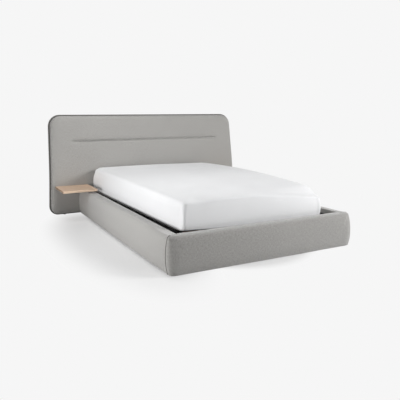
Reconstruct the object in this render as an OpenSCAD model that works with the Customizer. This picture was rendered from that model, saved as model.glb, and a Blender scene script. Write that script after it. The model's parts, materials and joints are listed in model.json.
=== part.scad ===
// Upholstered storage bed: a wide raked headboard carries an oak bedside shelf at each
// end, and a padded box base holds a slatted platform that lifts for storage.
// Millimetres, +Z up, X across the bed, +Y towards the headboard.
// The origin is on the floor, at the centre of the whole object's footprint.

/* [Mattress] */
// Width of the mattress
mattress_w = 1400; // [1200:10:1600]
// Length of the mattress
mattress_l = 2000; // [1900:10:2100]
// Thickness of the mattress at its edge
mattress_t = 239; // [180:1:300]
// Extra height in the middle of the mattress
mattress_crown = 16; // [0:1:30]
// Plan radius of the mattress corners
mattress_corner_r = 35; // [20:5:120]

/* [Base] */
// Height of the padded base
base_h = 284; // [255:1:330]
// Height of the glides under the panels
glide_h = 5; // [3:1:12]
// Depth of the mattress below the top of the base
mattress_sink = 38; // [20:1:45]
// Gap from the mattress to each side rail
side_gap = 90; // [86:1:110]
// Gap from the mattress to the headboard
head_gap = 24; // [20:1:40]
// Gap from the mattress to the foot panel
foot_gap = 42; // [36:1:60]
// Thickness of the padded side rails at their fullest
side_t = 103; // [92:1:130]
// Thickness of the padded foot panel at its fullest
foot_t = 99; // [92:1:130]
// How far the padding swells out between its edges
panel_bulge = 22; // [8:1:26]
// Rounding along the top edge of the padding
top_round = 26; // [12:1:30]
// Rounding along the bottom edge of the padding
bottom_round = 12; // [6:1:18]
// Plan radius of the foot panel's corners
foot_corner_r = 36; // [20:1:45]
// Distance from the foot face to the side seam
seam_back = 60; // [56:1:62]

/* [Panels] */
// Thickness of the side rail boards
rail_board_t = 45; // [30:1:48]
// Thickness of the padding on top of the boards
cap_t = 6; // [4:1:10]
// Thickness of the cloth that laps over the inner faces
lap_t = 2; // [1:0.5:4]
// Height of that lap
lap_h = 60; // [30:1:66]
// Thickness of the foot panel's wide board
foot_board_t = 18; // [12:1:20]

/* [Headboard] */
// Height of the headboard
headboard_h = 1111; // [1000:1:1300]
// Width of the headboard beyond the base at each side
wing_w = 322; // [300:1:460]
// Distance that the top leans back
lean = 95; // [40:5:140]
// Height where the lean starts
lean_from = 430; // [330:10:520]
// Radius of the top corners
top_corner_r = 132; // [100:2:180]
// Radius of the bottom corners
bottom_corner_r = 95; // [70:1:120]
// Thickness of the front padding
pad_t = 42; // [32:1:60]
// Rounding of the front padding at its rim
pad_round = 34; // [20:1:44]
// Thickness of the padding at its rim
pad_rim_t = 13; // [11:1:18]
// Thickness of the headboard's core
core_t = 30; // [24:1:40]
// Thickness of the cloth on the rim and back
skin_t = 3; // [2:0.5:5]
// Diameter of the piping round the front
piping_d = 9; // [6:1:10]
// Height of the sewn tuck
tuck_z = 810; // [700:5:860]
// Length of the sewn tuck
tuck_l = 1880; // [1200:20:2000]
// Depth of the sewn tuck
tuck_depth = 13; // [4:1:16]

/* [Shelves] */
// Width of each shelf
shelf_w = 368; // [280:1:400]
// Depth of each shelf
shelf_d = 345; // [250:5:380]
// Thickness of each shelf
shelf_t = 22; // [18:1:30]
// Space under the shelf, above the base
shelf_clear = 20; // [8:1:60]
// Diameter of the rods that carry the shelf
rod_d = 12; // [8:1:12]
// Length of each rod inside the shelf
rod_reach = 180; // [120:5:220]
// Distance between the two rods
rod_spacing = 220; // [120:10:240]

/* [Platform] */
// Width and height of the platform tubes
tube = 30; // [25:1:32]
// Wall of the platform tubes
tube_wall = 2; // [1.5:0.5:3]
// Distance that the platform stands past the mattress at each side
platform_over = 4; // [0:1:10]
// Number of slats in each row
slat_count = 12; // [8:1:14]
// Width of each slat
slat_w = 60; // [40:1:70]
// Thickness of each slat
slat_t = 7; // [5:0.5:8]
// Rise of each slat in its middle
slat_rise = 6; // [2:0.5:6]
// Width of the pull strap
strap_w = 40; // [25:1:60]

/* [Lift] */
// Length of the main arms between pivots
arm_l = 300; // [260:5:320]
// Height of the arms' pivot on the base, above the storage floor
lift_pivot_h = 79.4; // [70:0.1:90]
// Thickness of the arms
arm_t = 6; // [4:1:7]
// Distance from the headboard to the arm pivot on the platform
lift_pivot_s = 330; // [320:5:420]
// Distance of the guide arm's base pivot beyond the main one
guide_back = 113.6; // [105:0.1:120]
// Distance of the guide arm's base pivot below the main one
guide_drop = 42.9; // [38:0.1:46]
// Distance of the guide arm's platform pivot beyond the main one
guide_top_back = 50; // [45:1:55]
// Distance of the guide arm's platform pivot below the main one
guide_top_drop = 23; // [20:1:26]
// Distance of the gas spring's base stud towards the headboard
strut_ahead = 281.9; // [270:0.1:290]
// Distance of the gas spring's base stud below the main pivot
strut_drop = 60.4; // [55:0.1:64]
// Length of the arm's ear that carries the gas spring's upper stud
ear_l = 60; // [56:1:70]
// Direction of that ear when closed, in degrees
ear_slope = 77.3; // [74:0.1:80]
// Diameter of the main pivot pins
pin_d = 12; // [8:1:12]
// Radial play in the pivots
pivot_play = 0.05; // [0.02:0.01:0.1]
// Diameter of the gas spring cylinders
strut_d = 18; // [14:1:20]
// Diameter of the gas spring rods
strut_rod_d = 8; // [6:1:10]
// Diameter of the gas spring studs
stud_d = 8; // [6:1:9]

/* [Storage] */
// Thickness of the storage floor
floor_t = 6; // [4:1:9]
// Height of the bearers under the storage floor
bearer_h = 15; // [12:1:15]

/* [Hidden] */

$fn = 48;
gap = 0.3;
eps = 1;

// Heights
mattress_z = base_h - mattress_sink;
tube_top = mattress_z - slat_t - slat_rise - 3;
tube_z = tube_top - tube;
board_top = base_h - cap_t;
floor_z = glide_h + bearer_h;
shelf_z = base_h + shelf_clear;

// Distances from the middle across the bed
mattress_x = mattress_w / 2;
rail_in = mattress_x + side_gap;
board_in = rail_in + lap_t;
base_x = rail_in + side_t;
headboard_x = base_x + wing_w;
shelf_x = rail_in + 5;
platform_x = mattress_x + platform_over;

// Distances from the headboard's front towards the foot
mattress_foot_s = head_gap + mattress_l;
foot_in = mattress_foot_s + foot_gap;
foot_board_in = foot_in + lap_t;
base_l = foot_in + foot_t;
seam_s = base_l - seam_back;
platform_head_s = head_gap - 2;
platform_foot_s = mattress_foot_s - 2;

// Depth of the headboard behind its front at the floor
head_depth = pad_t + core_t + skin_t + lean;
// Place of the headboard's front at the floor
head_y = (base_l + head_depth) / 2 - head_depth;

function ys(s) = head_y - s;

// ---------- shared shapes ----------

// Joins closed rings of equal count, listed anticlockwise and from the bottom up.
module skin(rings) {
    n = len(rings[0]);
    m = len(rings);
    polyhedron(
        points = [for (r = rings) for (p = r) p],
        faces = concat(
            [for (j = [0 : n - 3]) [n - 1, j, j + 1]],
            [for (j = [0 : n - 3]) [m * n - 1, (m - 1) * n + j + 1, (m - 1) * n + j]],
            [for (k = [0 : m - 2]) for (j = [0 : n - 1]) let (i = (j + 1) % n)
                [k * n + j, (k + 1) * n + j, (k + 1) * n + i]],
            [for (k = [0 : m - 2]) for (j = [0 : n - 1]) let (i = (j + 1) % n)
                [k * n + j, (k + 1) * n + i, k * n + i]]));
}

// A flat bar with round ends of two radii, as one tangent outline.
bar_steps = 14;
module bar(p, q, rp, rq) {
    a = atan2(q[1] - p[1], q[0] - p[0]);
    t = acos((rp - rq) / norm(q - p));
    polygon(concat(
        [for (i = [0 : bar_steps]) let (b = a + t + (360 - 2 * t) * i / bar_steps)
            p + rp * [cos(b), sin(b)]],
        [for (i = [0 : bar_steps]) let (b = a - t + 2 * t * i / bar_steps)
            q + rq * [cos(b), sin(b)]]));
}

// A box between two X values, two distances from the headboard and two heights.
module block(x0, x1, s0, s1, z0, z1) {
    translate([x0, ys(s1), z0]) cube([x1 - x0, s1 - s0, z1 - z0]);
}

// Draws the child at +X, or mirrored for the left side.
module sided(side) {
    mirror([side < 0 ? 1 : 0, 0, 0]) children();
}

// Extrudes an outline of X and Z between two distances from the headboard.
module along_bed(s0, s1) {
    translate([0, ys(s0), 0]) rotate([90, 0, 0]) linear_extrude(s1 - s0) children();
}

// Extrudes an outline of Y and Z between two X values.
module across_bed(x0, x1) {
    translate([x0, 0, 0]) rotate([90, 0, 90]) linear_extrude(x1 - x0) children();
}

// A round pin between two X values at a point of Y and Z.
module cross_pin(p, x0, x1, d) {
    translate([x0, p[0], p[1]]) rotate([0, 90, 0]) cylinder(d = d, h = x1 - x0);
}

// ---------- headboard ----------

lean_blend = 120;
function lean_at(z) =
    let (k = lean / (headboard_h - lean_from), u = z - lean_from)
    u < -lean_blend ? 0 :
    u < lean_blend ? k * pow(u + lean_blend, 2) / (4 * lean_blend) : k * u;

lean_steps = 8;
// Heights where the headboard bends, shared by its padding, core, back and piping.
bend_zs = [for (i = [0 : lean_steps]) lean_from - lean_blend + i * 2 * lean_blend / lean_steps];
lean_zs = concat([0], bend_zs, [headboard_h]);

// A slab of the headboard's raked section, between two depths behind its front.
module raked_slab(d0, d1) {
    across_bed(-headboard_x - eps, headboard_x + eps) polygon(concat(
        [for (z = lean_zs) [head_y + d0 + lean_at(z), z]],
        [for (i = [len(lean_zs) - 1 : -1 : 0])
            [head_y + d1 + lean_at(lean_zs[i]), lean_zs[i]]]));
}

corner_steps = 10;
function corner(cx, cz, r, a0) = [for (i = [0 : corner_steps])
    let (a = a0 + 90 * i / corner_steps) [cx + r * cos(a), cz + r * sin(a)]];

// The headboard's front outline, drawn in by a margin.
function headboard_outline(m) =
    let (x = headboard_x - m, z0 = glide_h + m, z1 = headboard_h - m,
        rt = top_corner_r - m, rb = bottom_corner_r - m)
    concat(
        corner(x - rb, z0 + rb, rb, -90), corner(x - rt, z1 - rt, rt, 0),
        corner(-x + rt, z1 - rt, rt, 90), corner(-x + rb, z0 + rb, rb, 180));

module outline_block(m) {
    translate([0, head_y + head_depth + eps, 0]) rotate([90, 0, 0])
        linear_extrude(head_depth + 2 * eps) polygon(headboard_outline(m));
}

bolt_d = 8;
bolt_zs = [90, 160];
bolt_x = board_in - 26;
plate_t = 5;
plate_over = 30;
plate_w = rod_spacing + 2 * plate_over;
plate_h = 60;
rod_z = shelf_z + shelf_t / 2;
shelf_mid = shelf_x + shelf_w / 2;
rod_xs = [shelf_mid - rod_spacing / 2, shelf_mid + rod_spacing / 2];

// Holes for the shelf rods and the rail bolts, wider by a margin.
module headboard_holes(margin) {
    for (side = [-1, 1]) sided(side) {
        for (x = rod_xs) translate([x, head_y - eps, rod_z]) rotate([-90, 0, 0])
            cylinder(d = rod_d + 2 * margin, h = head_depth);
        for (z = bolt_zs) translate([bolt_x, head_y - eps, z]) rotate([-90, 0, 0])
            cylinder(d = bolt_d + 2 * margin, h = head_depth);
    }
}

// Pockets in the back of the core for the shelf brackets' plates.
module plate_pockets(margin) {
    for (side = [-1, 1]) sided(side)
        block(shelf_mid - plate_w / 2 - margin, shelf_mid + plate_w / 2 + margin,
            -pad_t - core_t - eps, -pad_t - core_t + plate_t,
            rod_z - plate_h / 2 - margin, rod_z + plate_h / 2 + margin);
}

module headboard_core() {
    color("burlywood") difference() {
        intersection() {
            raked_slab(pad_t, pad_t + core_t);
            outline_block(skin_t);
        }
        headboard_holes(0.2);
        plate_pockets(0.5);
    }
}

module headboard_back() {
    color("darkgray") difference() {
        intersection() {
            raked_slab(pad_t, pad_t + core_t + skin_t);
            outline_block(0);
        }
        intersection() {
            raked_slab(pad_t - eps, pad_t + core_t);
            outline_block(skin_t);
        }
    }
}

// The padding stands inside the piping.
pad_margin = skin_t + piping_d + gap;
pad_x = headboard_x - pad_margin;
pad_z0 = glide_h + pad_margin;
pad_z1 = headboard_h - pad_margin;
pad_rt = top_corner_r - pad_margin;
pad_rb = bottom_corner_r - pad_margin;

// Half width of the padding at a height.
function pad_half(z) =
    z > pad_z1 - pad_rt ? pad_x - pad_rt + sqrt(max(0, pow(pad_rt, 2) - pow(z - pad_z1 + pad_rt, 2))) :
    z < pad_z0 + pad_rb ? pad_x - pad_rb + sqrt(max(0, pow(pad_rb, 2) - pow(pad_z0 + pad_rb - z, 2))) :
    pad_x;

// Distance from the padding's rim to a point inside it.
function rim_dist(x, z) =
    let (mid = (pad_z0 + pad_z1) / 2, r = z > mid ? pad_rt : pad_rb,
        qx = abs(x) - pad_x + r, qz = (z > mid ? z - pad_z1 : pad_z0 - z) + r)
    r - (qx > 0 && qz > 0 ? norm([qx, qz]) : max(qx, qz));

tuck_half = 11;
tuck_fade = 60;
function tuck_at(x, z) =
    tuck_depth * exp(-pow((z - tuck_z) / tuck_half, 2))
    * min(1, max(0, (tuck_l / 2 + tuck_fade / 2 - abs(x)) / tuck_fade));

function pad_front(x, z) =
    let (e = min(1, max(0, rim_dist(x, z)) / pad_round))
    pad_rim_t + (pad_t - pad_rim_t) * sqrt(1 - pow(1 - e, 2)) - tuck_at(x, z);

// Steps in from the rim, where the padding curves most.
rim_steps = [0, 0.06, 0.2, 0.45, 0.8, 1.25];
pad_cols = 14;
function pad_xs(z) =
    let (w = pad_half(z), n = len(rim_steps) - 1, in = w - rim_steps[n] * pad_round)
    concat(
        [for (k = rim_steps) -w + k * pad_round],
        [for (i = [1 : pad_cols - 1]) -in + 2 * in * i / pad_cols],
        [for (i = [n : -1 : 0]) w - rim_steps[i] * pad_round]);

tuck_rows = [-2.4, -1.5, -0.8, -0.35, 0, 0.35, 0.8, 1.5, 2.4];
low_rows = 1;
mid_rows = 2;
high_rows = 2;
low_z = pad_z0 + pad_rb;
high_z = pad_z1 - pad_rt;
tuck_edge = tuck_rows[0] * tuck_half;
pad_zs = concat(
    [for (k = rim_steps) pad_z0 + k * pad_round], [low_z],
    [for (i = [1 : low_rows]) low_z + (bend_zs[0] - low_z) * i / (low_rows + 1)],
    bend_zs,
    [for (i = [1 : mid_rows]) let (z = bend_zs[lean_steps])
        z + (tuck_z + tuck_edge - z) * i / (mid_rows + 1)],
    [for (k = tuck_rows) tuck_z + k * tuck_half],
    [for (i = [1 : high_rows]) tuck_z - tuck_edge + (high_z - tuck_z + tuck_edge) * i / (high_rows + 1)],
    [high_z, pad_z1 - 0.6 * pad_rt],
    [for (i = [len(rim_steps) - 1 : -1 : 0]) pad_z1 - rim_steps[i] * pad_round]);

module headboard_pad() {
    color("silver") difference() {
        skin([for (z = pad_zs) let (xs = pad_xs(z), y = head_y + pad_t + lean_at(z))
            concat(
                [for (x = xs) [x, y - pad_front(x, z), z]],
                [[pad_half(z), y - gap / 2, z], [-pad_half(z), y - gap / 2, z]])]);
        headboard_holes(1);
    }
}

// Piping of eight sides along the rim, on the face of the core.
piping_sides = 8;
module headboard_piping() {
    r = piping_d / 2;
    m = skin_t + r;
    x = headboard_x - m;
    arc = headboard_outline(m);
    n_arc = 2 * corner_steps + 2;
    path = concat([for (i = [0 : corner_steps]) arc[i]],
        [for (z = bend_zs) [x, z]],
        [for (i = [corner_steps + 1 : corner_steps + n_arc]) arc[i]],
        [for (i = [lean_steps : -1 : 0]) [-x, bend_zs[i]]],
        [for (i = [corner_steps + n_arc + 1 : len(arc) - 1]) arc[i]]);
    n = len(path);
    pts = [for (i = [0 : n - 1]) let (
            p = path[i], d = path[(i + 1) % n] - path[(i + n - 1) % n],
            u = [d[1], -d[0]] / norm(d))
        for (k = [0 : piping_sides - 1]) let (a = 360 * (k + 0.5) / piping_sides)
            [p[0] + r * cos(a) * u[0],
                head_y + pad_t - r - gap / 2 + lean_at(p[1]) + r * sin(a),
                p[1] + r * cos(a) * u[1]]];
    color("dimgray") polyhedron(points = pts, faces = [
        for (i = [0 : n - 1]) for (k = [0 : piping_sides - 1])
            for (t = let (a = i * piping_sides + k, b = i * piping_sides + (k + 1) % piping_sides,
                    c = ((i + 1) % n) * piping_sides + (k + 1) % piping_sides,
                    d = ((i + 1) % n) * piping_sides + k) [[a, b, c], [a, c, d]]) t]);
}

// ---------- shelves ----------

module shelf(side) {
    ease = 1.5;
    color("tan") sided(side) difference() {
        translate([shelf_x, 0, shelf_z]) along_bed(0, shelf_d)
            polygon([[ease, 0], [shelf_w - ease, 0], [shelf_w, ease], [shelf_w, shelf_t - ease],
                [shelf_w - ease, shelf_t], [ease, shelf_t], [0, shelf_t - ease], [0, ease]]);
        for (x = rod_xs) translate([x, head_y + eps, rod_z]) rotate([90, 0, 0])
            cylinder(d = rod_d + 0.2, h = rod_reach + 2 + eps);
    }
}

module shelf_bracket(side) {
    color("dimgray") sided(side) {
        block(shelf_mid - plate_w / 2, shelf_mid + plate_w / 2,
            -pad_t - core_t, -pad_t - core_t + plate_t,
            rod_z - plate_h / 2, rod_z + plate_h / 2);
        for (x = rod_xs) translate([x, ys(-pad_t - core_t), rod_z]) rotate([90, 0, 0])
            cylinder(d = rod_d, h = pad_t + core_t + rod_reach);
    }
}

// ---------- base ----------

// How far the padding stands in from its fullest face at a height.
function edge_in(z) = panel_bulge * pow(abs(2 * (z - glide_h) / (base_h - glide_h) - 1), 2.4);

profile_steps = 10;
round_steps = 5;
// Outer section of the padding as [distance in, height], from the bottom up.
cushion_profile = concat(
    [for (i = [0 : round_steps]) let (a = 90 * i / round_steps)
        [edge_in(glide_h + bottom_round) + bottom_round * (1 - sin(a)),
            glide_h + bottom_round * (1 - cos(a))]],
    [for (i = [1 : profile_steps - 1]) let (z = glide_h + bottom_round
            + (base_h - top_round - glide_h - bottom_round) * i / profile_steps)
        [edge_in(z), z]],
    [for (i = [0 : round_steps]) let (a = 90 * i / round_steps)
        [edge_in(base_h - top_round) + top_round * (1 - cos(a)),
            base_h - top_round + top_round * sin(a)]]);

module side_rail(side) {
    color("burlywood") sided(side)
        block(board_in, board_in + rail_board_t, 0, seam_s, glide_h, board_top);
}

module side_cover(side) {
    inner_round = 4;
    color("silver") sided(side) along_bed(0, seam_s) polygon(concat(
        [for (p = cushion_profile) [base_x - p[0], p[1]]],
        [[rail_in + inner_round, base_h], [rail_in, base_h - inner_round],
            [rail_in, base_h - lap_h], [board_in, base_h - lap_h],
            [board_in, board_top], [board_in + rail_board_t, board_top],
            [board_in + rail_board_t, glide_h]]));
}

foot_wide_x = board_in + rail_board_t;
module foot_panel_solid() {
    block(-rail_in, rail_in, foot_board_in, seam_s, glide_h, board_top);
    block(-foot_wide_x, foot_wide_x, seam_s, seam_s + foot_board_t, glide_h, board_top);
}

module foot_panel() {
    color("burlywood") foot_panel_solid();
}

arc_steps = 6;
// Plan of the foot padding at one height: square at the back, round at the front.
function foot_ring(inset, z) =
    let (x = base_x - inset, y = ys(base_l) + inset, r = foot_corner_r)
    concat(
        [[-x, ys(foot_in), z]],
        [for (i = [0 : arc_steps]) let (a = 180 + 90 * i / arc_steps)
            [-x + r + r * cos(a), y + r + r * sin(a), z]],
        [for (i = [0 : arc_steps]) let (a = 270 + 90 * i / arc_steps)
            [x - r + r * cos(a), y + r + r * sin(a), z]],
        [[x, ys(foot_in), z]]);

module foot_cover() {
    color("silver") difference() {
        skin([for (p = cushion_profile) foot_ring(p[0], p[1])]);
        foot_panel_solid();
        for (side = [-1, 1]) sided(side)
            block(rail_in, base_x + eps, foot_in - eps, seam_s, 0, base_h + eps);
        block(-board_in, board_in, foot_in - eps, foot_board_in, 0, base_h - lap_h);
        block(-rail_in, rail_in, seam_s - eps, seam_s + foot_board_t, 0, board_top);
    }
}

bracket_t = 4;
bracket_w = 44;
bracket_z0 = 60;
bracket_z1 = 190;
module corner_brackets() {
    color("dimgray") for (side = [-1, 1]) sided(side) {
        difference() {
            union() {
                block(board_in - bracket_t, board_in, 0, bracket_w, bracket_z0, bracket_z1);
                block(board_in - bracket_w, board_in, 0, bracket_t, bracket_z0, bracket_z1);
            }
            for (z = bolt_zs) translate([bolt_x, ys(bracket_t + eps), z]) rotate([-90, 0, 0])
                cylinder(d = bolt_d + 0.4, h = bracket_t + 2 * eps);
        }
        difference() {
            union() {
                block(board_in - bracket_t, board_in,
                    foot_board_in - bracket_w, foot_board_in, bracket_z0, bracket_z1);
                block(board_in - bracket_w, board_in,
                    foot_board_in - bracket_t, foot_board_in, bracket_z0, bracket_z1);
            }
            for (z = bolt_zs) translate([bolt_x, ys(foot_board_in + eps), z]) rotate([-90, 0, 0])
                cylinder(d = bolt_d + 0.4, h = bracket_t + 2 * eps);
        }
    }
}

module corner_bolts() {
    head_h = 5;
    color("silver") for (side = [-1, 1], z = bolt_zs) sided(side) {
        translate([bolt_x, ys(bracket_t), z]) rotate([-90, 0, 0])
            cylinder(d = bolt_d, h = bracket_t + pad_t + core_t - 4);
        translate([bolt_x, ys(bracket_t + head_h), z]) rotate([-90, 0, 0])
            cylinder(d = 2 * bolt_d, h = head_h);
        translate([bolt_x, ys(foot_board_in - bracket_t), z]) rotate([90, 0, 0])
            cylinder(d = bolt_d, h = bracket_t);
        translate([bolt_x, ys(foot_board_in - bracket_t), z]) rotate([-90, 0, 0])
            cylinder(d = 2 * bolt_d, h = head_h);
    }
}

bearer_w = 20;
module floor_bearers() {
    color("burlywood") {
        for (side = [-1, 1]) sided(side)
            block(board_in - bearer_w, board_in, 2, foot_board_in - 2, glide_h, floor_z);
        block(-bearer_w, bearer_w, 2, foot_board_in - 2, glide_h, floor_z);
    }
}

module storage_floor(side) {
    color("dimgray") sided(side)
        block(0.5, board_in - 1, 2, foot_board_in - 2, floor_z, floor_z + floor_t);
}

glide_d = 36;
module glides() {
    rail_mid = board_in + rail_board_t / 2;
    color("black") {
        for (side = [-1, 1], k = [0.08, 0.36, 0.64, 0.92])
            translate([side * rail_mid, ys(k * seam_s), 0]) cylinder(d = glide_d, h = glide_h);
        for (k = [-0.6, 0, 0.6])
            translate([k * board_in, ys(seam_s - 16), 0]) cylinder(d = glide_d, h = glide_h);
        for (k = [0.25, 0.75])
            translate([0, ys(k * seam_s), 0]) cylinder(d = glide_d, h = glide_h);
        for (side = [-1, 1], k = [0.3, 0.86])
            translate([side * k * headboard_x, ys(-pad_t - core_t / 2), 0])
                cylinder(d = core_t - 4, h = glide_h);
    }
}

stop_in = 75;
stop_l = 45;
stop_h = 46.7;
stop_s = platform_foot_s - stop_in;
buffer_t = 3;
module platform_stops() {
    color("burlywood") for (side = [-1, 1]) sided(side)
        block(platform_x - tube, board_in, stop_s, stop_s + stop_l,
            tube_z - buffer_t - gap - stop_h, tube_z - buffer_t - gap);
}

module stop_buffers() {
    color("black") for (side = [-1, 1]) sided(side)
        block(platform_x - tube + 3, platform_x, stop_s + 5, stop_s + stop_l - 5,
            tube_z - buffer_t - gap, tube_z - gap);
}

// ---------- lift ----------

// Layers of the lift across the side gap, from the platform outwards.
bracket_x = platform_x + 5;
guide_x = bracket_x + 15;
arm_x = guide_x + arm_t + 6;
strut_x = arm_x + arm_t + 6 + strut_d / 2;
base_plate_t = 4;
base_plate_x = board_in - base_plate_t;

// Pivots as [Y, Z]: the main arm turns on the base at lift_a and carries the platform
// at lift_b; the guide arm turns on the base at lift_c and meets the platform at lift_d;
// the gas spring turns on the base at lift_e and pushes the arm's ear at lift_g.
lift_b = [ys(lift_pivot_s), tube_z + 8];
arm_slope = asin((lift_b[1] - floor_z - floor_t - lift_pivot_h) / arm_l);
lift_a = lift_b - arm_l * [cos(arm_slope), sin(arm_slope)];
lift_d = lift_b - [guide_top_back, guide_top_drop];
lift_c = lift_a - [guide_back, guide_drop];
lift_e = lift_a + [strut_ahead, -strut_drop];
lift_g = lift_a + ear_l * [cos(ear_slope), sin(ear_slope)];

// The guide arm and the spring rod meet their pins in wide eyes, off centre when closed.
guide_eye_d = pin_d - 2 + 6;
guide_eye = lift_d + [-1.7, 1.6];
rod_eye_d = stud_d + 7.6;
rod_eye = lift_g + [-1.1, 3.1];

boss_d = 24;
head_d = 20;
head_t = 3;
guide_pin_d = pin_d - 2;

module lift_base(side) {
    plate_r = 20;
    color("dimgray") sided(side) {
        translate([base_plate_x, 0, 0]) rotate([90, 0, 90]) linear_extrude(base_plate_t) {
            bar(lift_c, lift_a, plate_r, plate_r + 8);
            bar(lift_a, lift_e + [0, 6], plate_r + 8, plate_r);
            bar(lift_c, lift_e + [0, 6], plate_r, plate_r);
        }
        // main pivot: boss, pin and head
        cross_pin(lift_a, arm_x + arm_t + gap, base_plate_x + eps, boss_d);
        cross_pin(lift_a, arm_x - gap, base_plate_x + eps, pin_d);
        cross_pin(lift_a, arm_x - gap - head_t, arm_x - gap, head_d);
        // guide arm pivot
        cross_pin(lift_c, guide_x + arm_t + gap, base_plate_x + eps, boss_d - 4);
        cross_pin(lift_c, guide_x - gap, base_plate_x + eps, guide_pin_d);
        cross_pin(lift_c, guide_x - gap - head_t, guide_x - gap, head_d - 2);
        // gas spring stud
        cross_pin(lift_e, strut_x + eye_w / 2 + gap, base_plate_x + eps, stud_d + 6);
        cross_pin(lift_e, strut_x - eye_w / 2 - gap, base_plate_x + eps, stud_d);
        cross_pin(lift_e, strut_x - eye_w / 2 - gap - head_t,
            strut_x - eye_w / 2 - gap, stud_d + 5);
    }
}

module lift_arm(side) {
    color("dimgray") sided(side) {
        difference() {
            translate([arm_x, 0, 0]) rotate([90, 0, 90]) linear_extrude(arm_t) {
                bar(lift_a, lift_b, 21, 17);
                bar(lift_a, lift_g, 21, 13);
            }
            cross_pin(lift_a, arm_x - eps, arm_x + arm_t + eps, pin_d + 2 * pivot_play);
            cross_pin(lift_b, arm_x - eps, arm_x + arm_t + eps, pin_d + 2 * pivot_play);
        }
        // stud for the gas spring's eye
        cross_pin(lift_g, arm_x + arm_t, strut_x - eye_w / 2 - gap, stud_d + 12);
        cross_pin(lift_g, arm_x + arm_t, strut_x + eye_w / 2 + gap, stud_d);
        cross_pin(lift_g, strut_x + eye_w / 2 + gap, strut_x + eye_w / 2 + gap + head_t,
            stud_d + 12);
    }
}

module guide_arm(side) {
    color("dimgray") sided(side) difference() {
        translate([guide_x, 0, 0]) rotate([90, 0, 90]) linear_extrude(arm_t)
            bar(lift_c, guide_eye, 18, 16);
        cross_pin(lift_c, guide_x - eps, guide_x + arm_t + eps, guide_pin_d + 2 * pivot_play);
        cross_pin(guide_eye, guide_x - eps, guide_x + arm_t + eps, guide_eye_d);
    }
}

eye_w = 12;
strut_dir = (rod_eye - lift_e) / norm(rod_eye - lift_e);
strut_angle = atan2(strut_dir[1], strut_dir[0]);
strut_len = norm(rod_eye - lift_e);
strut_neck = 26;
strut_body = strut_len - 74;

// Places a child on the gas spring's axis, with +X along it from the base stud.
module on_strut() {
    translate([strut_x, lift_e[0], lift_e[1]]) rotate([strut_angle, 0, 0])
        rotate([0, 0, 90]) children();
}

module strut_tube(side) {
    bore = strut_rod_d + 0.2;
    color("black") sided(side) difference() {
        union() {
            on_strut() rotate([0, 90, 0]) translate([0, 0, strut_neck])
                cylinder(d = strut_d, h = strut_body - strut_neck);
            on_strut() rotate([0, 90, 0]) translate([0, 0, 8])
                cylinder(d = 10, h = strut_neck - 8 + eps);
            cross_pin(lift_e, strut_x - eye_w / 2, strut_x + eye_w / 2, 2 * stud_d + 6);
        }
        cross_pin(lift_e, strut_x - eye_w, strut_x + eye_w, stud_d + 2 * pivot_play);
        on_strut() rotate([0, 90, 0]) translate([0, 0, strut_body - 80])
            cylinder(d = bore, h = 81);
    }
}

module strut_rod(side) {
    color("silver") sided(side) difference() {
        union() {
            on_strut() rotate([0, 90, 0]) translate([0, 0, strut_body - 74])
                cylinder(d = strut_rod_d, h = strut_len - strut_body + 74 - rod_eye_d / 2 - 3);
            on_strut() rotate([0, 90, 0]) translate([0, 0, strut_len - 34])
                cylinder(d = eye_w, h = 34 - rod_eye_d / 2 - 2);
            cross_pin(rod_eye, strut_x - eye_w / 2, strut_x + eye_w / 2, rod_eye_d + 10);
        }
        cross_pin(rod_eye, strut_x - eye_w, strut_x + eye_w, rod_eye_d);
    }
}

module platform_bracket(side) {
    color("dimgray") sided(side) {
        translate([platform_x, 0, 0]) rotate([90, 0, 90]) linear_extrude(bracket_x - platform_x) {
            bar(lift_b, lift_d, 18, 16);
            translate([lift_d[0] - 60, tube_z]) square([170, tube]);
        }
        cross_pin(lift_b, bracket_x - eps, arm_x - gap, boss_d - 4);
        cross_pin(lift_b, bracket_x - eps, arm_x + arm_t + gap, pin_d);
        cross_pin(lift_b, arm_x + arm_t + gap, arm_x + arm_t + gap + head_t, head_d);
        cross_pin(lift_d, bracket_x - eps, guide_x - gap, guide_eye_d + 4);
        cross_pin(lift_d, bracket_x - eps, guide_x + arm_t + gap, guide_pin_d);
        cross_pin(lift_d, guide_x + arm_t + gap, guide_x + arm_t + gap + head_t, guide_eye_d + 4);
    }
}

// ---------- platform ----------

// Square tube as an outline.
module tube_outline() {
    difference() {
        square(tube);
        translate([tube_wall, tube_wall]) square(tube - 2 * tube_wall);
    }
}

module platform_side_tube(side) {
    color("dimgray") sided(side) translate([platform_x - tube, 0, tube_z])
        along_bed(platform_head_s, platform_foot_s) tube_outline();
}

module cross_tube(s) {
    color("dimgray") translate([0, ys(s + tube), tube_z])
        across_bed(-platform_x + tube, platform_x - tube) tube_outline();
}

module platform_head_tube() { cross_tube(platform_head_s); }

module platform_foot_tube() { cross_tube(platform_foot_s - tube); }

module platform_centre_tube() {
    color("dimgray") translate([-tube / 2, 0, tube_z])
        along_bed(platform_head_s + tube, platform_foot_s - tube) tube_outline();
}

module tube_caps() {
    cap = 1.5;
    plug = 12;
    fit = tube - 2 * tube_wall - 0.4;
    color("black") for (side = [-1, 1], end = [0, 1])
        let (s = end == 0 ? platform_head_s : platform_foot_s, d = end == 0 ? 1 : -1) sided(side) {
            block(platform_x - tube, platform_x, min(s, s - d * cap), max(s, s - d * cap),
                tube_z, tube_top);
            block(platform_x - tube / 2 - fit / 2, platform_x - tube / 2 + fit / 2,
                min(s, s + d * plug), max(s, s + d * plug),
                tube_z + tube / 2 - fit / 2, tube_z + tube / 2 + fit / 2);
        }
}

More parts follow.
